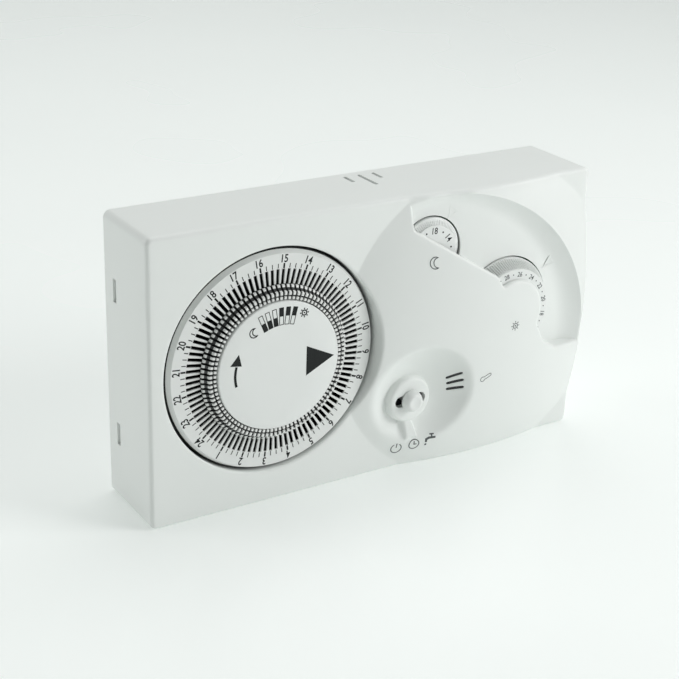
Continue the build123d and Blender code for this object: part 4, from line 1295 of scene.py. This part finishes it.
class Sign:
    """Plain signs made of strokes."""

    @staticmethod
    def moon(sheet: Print, at: Point, size: float, stroke: float, turned: float = 0.0) -> None:
        """A crescent open to the right."""
        outer = [polar((0.0, 0.0), size / 2, 60 + 240 * i / 20) for i in range(21)]
        hollow = (size * 0.27, 0.0)
        reach = math.dist(outer[0], hollow)
        first = math.degrees(math.atan2(outer[-1][1], outer[-1][0] - hollow[0])) % 360
        last = math.degrees(math.atan2(outer[0][1], outer[0][0] - hollow[0])) % 360
        inner = [polar(hollow, reach, first + (last - first) * i / 16) for i in range(1, 16)]
        sheet.line(outer + inner, stroke, True, at, turned)

    @staticmethod
    def sun(sheet: Print, at: Point, size: float, stroke: float) -> None:
        """A ring with short rays and a dot."""
        sheet.line(ring((0, 0), size * 0.27, 18), stroke, True, at)
        sheet.area(ring((0, 0), size * 0.09, 8), at)
        for i in range(8):
            ray = [polar((0, 0), size * 0.37, 45.0 * i), polar((0, 0), size * 0.52, 45.0 * i)]
            sheet.line(ray, stroke, False, at)

    @staticmethod
    def power(sheet: Print, at: Point, size: float, stroke: float) -> None:
        """A broken ring with an upright bar."""
        arc = [polar((0, 0), size / 2, 120 + 300 * i / 24) for i in range(25)]
        sheet.line(arc, stroke, False, at)
        sheet.line([(0.0, size * 0.08), (0.0, size * 0.56)], stroke, False, at)

    @staticmethod
    def clock(sheet: Print, at: Point, size: float, stroke: float) -> None:
        """A clock face with two hands."""
        sheet.line(ring((0, 0), size / 2, 24), stroke, True, at)
        hands = [(0.0, size * 0.34), (0.0, size * 0.17), (0.0, 0.0), (size * 0.13, 0.0),
                 (size * 0.26, 0.0)]
        sheet.line(hands, stroke, False, at)

    @staticmethod
    def tap(sheet: Print, at: Point, size: float, stroke: float) -> None:
        """A water tap with a drop."""
        half = size / 2
        body = [(half * 0.9, 0.25 * half), (-half * 0.2, 0.25 * half), (-half * 0.7, 0.05 * half),
                (-half * 0.7, -half * 0.5)]
        sheet.line(body, stroke * 1.7, False, at)
        sheet.line([(half * 0.25, 0.25 * half), (half * 0.25, 0.8 * half)], stroke, False, at)
        sheet.line([(-half * 0.1, 0.85 * half), (half * 0.6, 0.85 * half)], stroke, False, at)
        sheet.area(ring((-half * 0.7, -half * 0.95), stroke * 0.9, 8), at)

    @staticmethod
    def thermometer(sheet: Print, at: Point, size: float, stroke: float) -> None:
        """A thermometer lying on its side, bulb to the left."""
        half = size / 2
        bulb = [polar((-half * 0.62, 0.0), half * 0.38, 40 + 280 * i / 16) for i in range(17)]
        tip = [polar((half * 0.72, 0.0), half * 0.24, -90 + 180 * i / 8) for i in range(9)]
        sheet.line(bulb + tip, stroke, True, at, 24.0)


# ---------------------------------------------------------------- the programme dial
@dataclass
class ProgrammeDial:
    """The timer dial's print, its tappets and the hub disc's print."""

    repeat: RadialRepeat
    centre: Point
    first_deg: float = 84.6 - 14 * 15.0
    hours: int = 24
    sets: int = 4
    land: float = 27.2
    disc: float = 30.2

    def figures(self) -> bpy.types.Object:
        """Makes the hour figures, anticlockwise from 1 to 24."""
        sheet = Print("hour_figures", Finish.BLACK_INK, lambda x, z: self.land)
        for hour in range(1, self.hours + 1):
            degrees = self.first_deg + (hour - 1) * 360.0 / self.hours
            sheet.figures(str(hour), 3.15, polar(self.centre, 30.15, degrees), degrees - 90.0, 0.82,
                          0.055)
        return sheet.build()

    def ticks(self) -> list[bpy.types.Object]:
        """Makes the quarter-hour ticks and the bold hour ticks."""
        made = []
        for name, near, far, width, count in (("quarter_ticks", 27.45, 28.75, 0.24, 96),
                                              ("hour_ticks", 27.35, 28.8, 0.5, 24)):
            sheet = Print("tick", Finish.BLACK_INK, lambda x, z: self.land)
            sheet.line([(near, 0.0), (far, 0.0)], width)
            one = sheet.build()
            made.append(self.repeat.repeat(name, one, Finish.BLACK_INK, self.centre, count,
                                           self.first_deg, 360.0 / count))
            drop(one)
        return made

    def _tappet(self) -> bpy.types.Object:
        """Makes one tappet at angle 0: foot, blade and a notched, rounded head."""
        head = [(19.2, 27.42), (19.2, 29.62), (19.35, 29.78), (20.0, 29.78), (20.1, 29.0),
                (20.4, 29.0), (20.5, 29.78), (21.2, 29.78), (21.45, 29.6), (21.6, 28.95),
                (22.15, 28.2), (22.7, 28.0), (22.9, 27.7), (22.9, 27.42)]
        verts: list[tuple[float, float, float]] = []
        faces: list[list[int]] = []
        self._bar(verts, faces, head, 0.4, 0.33)
        blade = [(20.3, 24.2), (20.3, 27.45), (22.5, 27.45), (22.5, 24.2)]
        self._bar(verts, faces, blade, 0.2, 0.2)
        foot = [(20.15, 22.7), (20.15, 24.25), (22.35, 24.25), (22.35, 22.7)]
        self._bar(verts, faces, foot, 0.42, 0.36)
        return make_piece("tappet", verts, faces, Finish.TAPPET)

    def _bar(self, verts: list, faces: list, outline: Sequence[Point], half: float,
             crown: float) -> None:
        """Adds a bar with a side outline in (radius, depth) and narrower outer faces.

        Args:
            verts: vertices so far.
            faces: faces so far.
            outline: clockwise side outline.
            half: half its width.
            crown: half its width on the front.
        """
        start, count = len(verts), len(outline)
        top = max(depth for _, depth in outline)
        low = min(depth for _, depth in outline)
        for side in (-1, 1):
            for radius, depth in outline:
                share = max(0.0, (depth - low) / (top - low) - 0.5) * 2
                verts.append((radius, -depth, side * (half + (crown - half) * share)))
        faces.append([start + i for i in range(count)][::-1])
        faces.append([start + count + i for i in range(count)])
        for i in range(count):
            j = (i + 1) % count
            faces.append([start + i, start + j, start + count + j, start + count + i])

    def tappets(self) -> dict[str, bpy.types.Object]:
        """Makes every hour's set, by the name of the node that it stands for."""
        one = self._tappet()
        made = {}
        for hour in range(1, self.hours + 1):
            start = self.first_deg + (hour - 1) * 360.0 / self.hours
            name = f"tappets_hour_{hour:02d}"
            made[name] = self.repeat.repeat(f"{name}_set", one, Finish.TAPPET, self.centre,
                                            self.sets, start, 360.0 / self.hours / self.sets,
                                            0.04, hour)
        drop(one)
        return made

    def disc_print(self) -> bpy.types.Object:
        """Makes the hub disc's pointer, arrow, bars, moon and sun."""
        sheet = Print("disc_signs", Finish.BLACK_INK, lambda x, z: self.disc)
        x0, z0 = middle = (self.centre[0] + 0.64, self.centre[1] - 0.57)
        sheet.area([(7.9, 4.8), (7.9, -4.1), (16.85, 0.38)], middle)
        shaft = [polar((0, 0), 14.45 - 0.1 * abs(i - 6) / 6, 192.0 - 2.0 * i) for i in range(13)]
        sheet.line(shaft, 0.75, False, middle)
        sheet.area([(-13.3, 6.5), (-15.95, 3.5), (-12.45, 2.9)], middle)
        for i in range(6):
            degrees = 113.0 - 7.3 * i
            inner, outer = (12.75, 15.2) if i < 3 else (15.2, 17.7)
            self._bar_sign(sheet, middle, degrees, inner, outer)
        Sign.moon(sheet, (x0 - 8.7, z0 + 11.9), 2.7, 0.3, 20.0)
        Sign.sun(sheet, (x0 + 6.9, z0 + 15.0), 2.7, 0.36)
        return sheet.build()

    def _bar_sign(self, sheet: Print, middle: Point, degrees: float, inner: float,
                  outer: float) -> None:
        """Adds one outlined bar with its black half."""
        across = 0.62
        box = [(12.75, -across), (17.7, -across), (17.7, across), (12.75, across)]
        sheet.line(box, 0.2, True, middle, degrees)
        sheet.area([(inner, -across), (outer, -across), (outer, across), (inner, across)],
                   middle, degrees)

    def hub_disc(self) -> bpy.types.Object:
        """Makes the fixed disc with its rounded rim, lip and spigot."""
        flat_r, fillet = 18.6, 0.3
        profile = [(0.0, self.disc), (12.0, self.disc), (flat_r, self.disc)]
        for a in (math.radians(degrees) for degrees in range(30, 91, 30)):
            profile.append((flat_r + fillet * math.sin(a),
                            self.disc - fillet + fillet * math.cos(a)))
        profile += [(18.9, 28.4), (18.8, 28.3), (18.7, 28.28), (18.7, 27.5), (17.95, 27.5),
                    (17.95, 28.3), (15.95, 28.3), (15.95, 22.2), (14.6, 22.2), (14.6, 28.3),
                    (0.0, 28.3)]
        verts, faces = lathe(profile, self.centre, 160)
        return make_piece("hub_disc_cap", verts, faces, Finish.DIAL, 32.0)


# ---------------------------------------------------------------- thumb wheels
class WheelKind(Enum):
    """The two temperature wheels."""

    NIGHT = "night"
    COMFORT = "comfort"


@dataclass
class ThumbWheel:
    """A temperature wheel with a grooved flank and a printed scale."""

    kind: WheelKind
    repeat: RadialRepeat
    centre: Point
    rim: float
    face: float
    rim_depth: float
    face_depth: float
    ribs: int
    scale_r: float
    size: float
    marks: dict[float, str]

    def body(self) -> bpy.types.Object:
        """Makes the turned body: face, flank, rim and shaft."""
        flank = 0.55
        profile = [(0.0, self.face_depth), (self.face * 0.6, self.face_depth),
                   (self.face - 0.3, self.face_depth), (self.face - 0.08, self.face_depth - 0.06),
                   (self.face, self.face_depth - 0.22)]
        for share in (0.25, 0.5, 0.75):
            radius = self.face + (self.rim - self.face) * share - flank
            profile.append((radius, self.face_depth - 0.22
                            - (self.face_depth - self.rim_depth - 0.3) * share))
        profile += [(self.rim - 0.25, self.rim_depth + 0.06), (self.rim - 0.06, self.rim_depth),
                    (self.rim, self.rim_depth - 0.1), (self.rim, self.rim_depth - 1.3),
                    (self.rim - 0.1, self.rim_depth - 1.4), (self.face - 1.4, self.rim_depth - 1.4),
                    (self.face - 1.4, self.face_depth - 1.4), (3.15, self.face_depth - 1.4),
                    (3.15, 25.75), (1.95, 25.7), (1.95, 21.1), (1.8, 21.0), (0.0, 21.0)]
        verts, faces = lathe(profile, self.centre, 180)
        return make_piece(f"{self.kind.value}_wheel_body", verts, faces, Finish.DIAL, 32.0)

    def grip(self) -> bpy.types.Object:
        """Makes the raised ribs of the flank."""
        inner, outer = self.face - 0.02, self.rim - 0.1
        high, low = self.face_depth - 0.32, self.rim_depth - 0.03
        pitch = 2 * math.pi * (inner + outer) / 2 / self.ribs
        half_in, half_out = pitch * 0.17, pitch * 0.28
        verts = []
        for radius, depth, half in ((inner, high, half_in), (outer, low, half_out)):
            verts += [(radius, -(depth - 0.5), -half), (radius, -(depth - 0.08), -half),
                      (radius, -depth, -half * 0.45), (radius, -depth, half * 0.45),
                      (radius, -(depth - 0.08), half), (radius, -(depth - 0.5), half)]
        faces = [[0, 1, 2, 3, 4, 5], [11, 10, 9, 8, 7, 6]]
        faces += [[i, i + 6, (i + 1) % 6 + 6, (i + 1) % 6] for i in range(6)]
        one = make_piece("rib", verts, faces, Finish.DIAL)
        made = self.repeat.repeat(f"{self.kind.value}_wheel_grip", one, Finish.DIAL, self.centre,
                                  self.ribs, 0.0, 360.0 / self.ribs, 0.03, 7)
        drop(one)
        return made

    def scale(self) -> bpy.types.Object:
        """Makes the printed figures and dots."""
        sheet = Print(f"{self.kind.value}_wheel_scale", Finish.GREY_INK if self.kind
                      is WheelKind.COMFORT else Finish.BLACK_INK, lambda x, z: self.face_depth)
        for degrees, words in self.marks.items():
            at = polar(self.centre, self.scale_r, degrees)
            if words:
                sheet.figures(words, self.size, at, degrees - 90.0, 0.85)
            else:
                sheet.area(ring((0.0, 0.0), self.size * 0.1, 10), at)
        return sheet.build()


# ---------------------------------------------------------------- the mode switch
@dataclass
class ModeSwitch:
    """The round sliding knob and its stem."""

    centre: Point
    base: float = 29.7
    top: float = 32.3
    radius: float = 3.3

    def knob(self) -> bpy.types.Object:
        """Makes the domed knob with a dished crown on its square stem."""
        profile: list[Point] = [(0.0, self.top - 0.22), (0.9, self.top - 0.18),
                                (1.6, self.top - 0.05)]
        for step in range(9):
            turn = math.radians(10.0 * step + 8.0)
            profile.append((1.75 + 1.5 * math.sin(turn), self.top - 2.0 + 2.0 * math.cos(turn)))
        profile += [(self.radius, self.base + 0.6), (self.radius, self.base + 0.12),
                    (self.radius - 0.12, self.base), (0.0, self.base)]
        verts, faces = lathe(profile, self.centre, 64)
        crown = make_piece("mode_knob", verts, faces, Finish.DIAL, 40.0)
        half, chamfer = 1.4, 0.58
        outline = [(half, half - chamfer), (half - chamfer, half), (chamfer - half, half),
                   (-half, half - chamfer), (-half, chamfer - half), (chamfer - half, -half),
                   (half - chamfer, -half), (half, chamfer - half)]
        stem = [(self.centre[0] + x, -d, self.centre[1] + z)
                for d in (self.base + 0.05, 21.9) for x, z in outline]
        sides = [[i, i + 8, (i + 1) % 8 + 8, (i + 1) % 8] for i in range(8)]
        low = make_piece("mode_stem", stem, [list(range(8)), list(range(15, 7, -1))] + sides,
                         Finish.DIAL)
        return join_meshes("mode_switch_button", [crown, low])


# ---------------------------------------------------------------- pieces kept from the frame
class KeptPieces:
    """Dresses the frame's own pieces that need no new shape."""

    FINISHES: dict[Finish, tuple[str, ...]] = {
        Finish.INNER: ("wall_base", "chassis", "dial_hub"),
        Finish.GREY: ("terminal_block",),
        # The timer dial's finish paints shade into its slots, inner land and rim gap.
        Finish.DIAL_RING: ("timer_dial",),
        Finish.ZINC: ("terminal_screws", "chassis_screws", "clock_screws", "board_screws"),
        Finish.CELL_1: ("battery_1",),
        Finish.CELL_2: ("battery_2",),
        Finish.NICKEL: ("battery_springs", "battery_tabs", "link_pins", "program_lever"),
        Finish.BOARD: ("circuit_board",),
        Finish.DARK: ("night_potentiometer", "comfort_potentiometer", "mode_switch_body",
                      "control_chip", "thermistor", "program_switch"),
        Finish.RELAY: ("relay",),
        Finish.SLEEVE: ("capacitor",),
        Finish.STEEL: ("clock_plate",),
        Finish.CAN: ("clock_motor",),
        Finish.BRASS: ("drive_gear", "motor_pinion"),
    }

    def dress(self, nodes: dict[str, bpy.types.Object]) -> None:
        """Gives each kept node its finish through its material slots."""
        for finish, names in self.FINISHES.items():
            for name in names:
                for slot in nodes[name].material_slots:
                    slot.material = finish.material()
                LOG.info("dressed %s in %s", name, finish.value.name)


# ---------------------------------------------------------------- floor, lights and camera
@dataclass
class Studio:
    """A pale glossy table, soft lights and the camera."""

    floor_z: float
    camera_at: tuple[float, float, float] = (-0.223945, -0.356794, 0.170007)
    forward: tuple[float, float, float] = (0.49374608, 0.77613115, -0.39221836)
    up: tuple[float, float, float] = (0.18231748, 0.34861657, 0.91936218)
    lens: float = 79.76

    def floor(self) -> bpy.types.Object:
        """Makes the table top with a soft rise behind it."""
        shader = ShaderTree("table_white")
        cloud = shader.noise(6.0, 2.0)
        shader.set(Base_Color=shader.blend(cloud, (0.9, 0.93, 0.915), (0.93, 0.955, 0.94)),
                   Roughness=cloud * 0.08 + 0.24, Specular_IOR_Level=0.35,
                   Emission_Color=(0.93, 0.97, 0.95, 1.0), Emission_Strength=0.18)
        low = self.floor_z / MM
        rows = [(-1500.0, low), (1600.0, low)]
        rows += [(1600.0 + 900.0 * math.sin(math.radians(a)),
                  low + 900.0 * (1 - math.cos(math.radians(a)))) for a in range(10, 91, 10)]
        rows.append((2500.0, low + 3500.0))
        verts = [(x, y, z) for y, z in rows for x in (-3500.0, 3500.0)]
        faces = [[2 * i, 2 * i + 1, 2 * i + 3, 2 * i + 2] for i in range(len(rows) - 1)]
        table = make_piece("table", verts, faces, Finish.CASE, 60.0)
        table.data.materials.clear()
        table.data.materials.append(shader.material)
        return table

    def light(self, name: str, at: tuple[float, float, float], size: float,
              power: float) -> None:
        """Adds one soft white square light, aimed at the thermostat.

        Args:
            name: its name.
            at: its place in metres.
            size: its side in metres.
            power: watts.
        """
        data = bpy.data.lights.new(name, "AREA")
        data.size = size
        data.energy = power
        lamp = bpy.data.objects.new(name, data)
        lamp.location = at
        way = Vector((0.0, -0.02, 0.0)) - Vector(at)
        lamp.rotation_euler = way.to_track_quat("-Z", "Y").to_euler()
        bpy.context.scene.collection.objects.link(lamp)

    def lights(self) -> None:
        """Adds the overhead softbox, the key at the right and the fill at the left."""
        world = bpy.data.worlds.new("room")
        bpy.context.scene.world = world
        world.use_nodes = True
        sky = world.node_tree.nodes["Background"]
        sky.inputs[0].default_value = (0.955, 1.0, 0.975, 1.0)
        sky.inputs[1].default_value = 0.26
        self.light("overhead", (0.25, 0.25, 1.1), 0.9, 5.0)
        self.light("key", (0.55, -0.5, 0.3), 0.4, 2.95)
        self.light("fill", (-0.95, 0.5, 0.4), 0.6, 2.4)

    def camera(self) -> None:
        """Places the camera."""
        data = bpy.data.cameras.new("camera")
        data.lens = self.lens
        data.sensor_width = 36.0
        data.clip_start = 0.01
        data.clip_end = 50.0
        bpy.context.scene.view_settings.view_transform = "Standard"
        holder = bpy.data.objects.new("camera", data)
        ahead = Vector(self.forward).normalized()
        right = ahead.cross(Vector(self.up)).normalized()
        above = right.cross(ahead)
        turn = Matrix((right, above, -ahead)).transposed()
        holder.matrix_world = Matrix.Translation(self.camera_at) @ turn.to_4x4()
        bpy.context.scene.collection.objects.link(holder)
        bpy.context.scene.camera = holder


# ---------------------------------------------------------------- the whole
def middle_of(node: str) -> Point:
    """The middle of a node's box in the front plane, in mm."""
    low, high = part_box(node)
    return ((low[0] + high[0]) / 2 / MM, (low[2] + high[2]) / 2 / MM)


def ride(piece: bpy.types.Object, body: str, slot: str, *nodes: str) -> None:
    """Rides a piece on a body, hides the nodes that it stands for and reports it.

    Args:
        piece: the piece.
        body: the body that carries it.
        slot: the record's material slot; not used.
        nodes: nodes that it stands for.
    """
    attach(piece, body)
    if nodes:
        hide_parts(*nodes)
    LOG.info("%s: %d faces, on %s", piece.name, len(piece.data.polygons), body)


def build_cover() -> None:
    """Builds the front cover with its signs and pointers."""
    low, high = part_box("front_cover")
    relief = Relief(dial_at=middle_of("timer_dial"), comfort_at=middle_of("comfort_wheel"),
                    island_at=middle_of("mode_switch_knob"))
    cover = FrontCover(relief, (high[0] - low[0]) / MM, (high[2] - low[2]) / MM,
                       wheels=((middle_of("night_wheel"), 10.25),
                               (middle_of("comfort_wheel"), 16.05)))
    ride(cover.build(), "case", "case_white", "front_cover")
    # Dark sheets in the sensor slots are painted shade inside them.
    ride(cover.sensor_slot_shade(), "case", "component_dark")
    ride(cover.prints(), "case", "case_white")
    ride(cover.pointers(), "case", "case_white")


def build_dial(repeat: RadialRepeat) -> None:
    """Builds the dial's prints, the tappets and the hub disc."""
    dial = ProgrammeDial(repeat, middle_of("timer_dial"))
    ride(dial.figures(), "dial", "case_white")
    for piece in dial.ticks():
        ride(piece, "dial", "case_white")
    for node, piece in dial.tappets().items():
        ride(piece, node, "tappet_white", node)
    ride(dial.hub_disc(), "case", "case_white", "hub_disc")
    ride(dial.disc_print(), "case", "case_white")


def scale_marks(warm: int, turn: float, degree: float, dots: range,
                figures: range) -> dict[float, str]:
    """The marks of a temperature scale.

    Args:
        warm: the temperature that stands at the angle turn.
        turn: its angle, anticlockwise from +X.
        degree: the angle of one degree Celsius.
        dots: how far below warm the marks lie, in degrees Celsius.
        figures: which of them are figures.

    Returns:
        The figure, or nothing for a dot, by angle.
    """
    marks = {turn - degree * i: "" for i in dots}
    marks.update({turn - degree * i: str(warm - i) for i in figures})
    return marks


def build_wheels(repeat: RadialRepeat) -> None:
    """Builds both thumb wheels."""
    night = scale_marks(18, 87.0, 13.5, range(-4, 15, 2), range(-4, 9, 4))
    comfort = scale_marks(28, 104.5, 11.7, range(-3, 18), range(-2, 17, 2))
    wheels = (
        ThumbWheel(WheelKind.NIGHT, repeat, middle_of("night_wheel"), rim=9.8, face=7.9,
                   rim_depth=28.0, face_depth=29.4, ribs=88, scale_r=6.3, size=2.75,
                   marks=night),
        ThumbWheel(WheelKind.COMFORT, repeat, middle_of("comfort_wheel"), rim=15.6, face=13.3,
                   rim_depth=29.4, face_depth=33.8, ribs=120, scale_r=11.8, size=2.1,
                   marks=comfort),
    )
    for wheel in wheels:
        body = f"{wheel.kind.value}_wheel"
        ride(wheel.body(), body, "case_white", body)
        ride(wheel.grip(), body, "case_white")
        ride(wheel.scale(), body, "case_white")


def main() -> None:
    """Builds everything in order."""
    logging.basicConfig(level=logging.INFO, format="%(name)s: %(message)s")
    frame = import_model()
    cad_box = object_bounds()
    KeptPieces().dress(frame["nodes"])
    repeat = RadialRepeat()
    build_cover()
    build_dial(repeat)
    build_wheels(repeat)
    knob = ModeSwitch(middle_of("mode_switch_knob"))
    ride(knob.knob(), "mode_switch", "case_white", "mode_switch_knob")
    studio = Studio(cad_box[0][2])
    studio.floor()
    studio.lights()
    studio.camera()


if __name__ == "__main__":
    main()
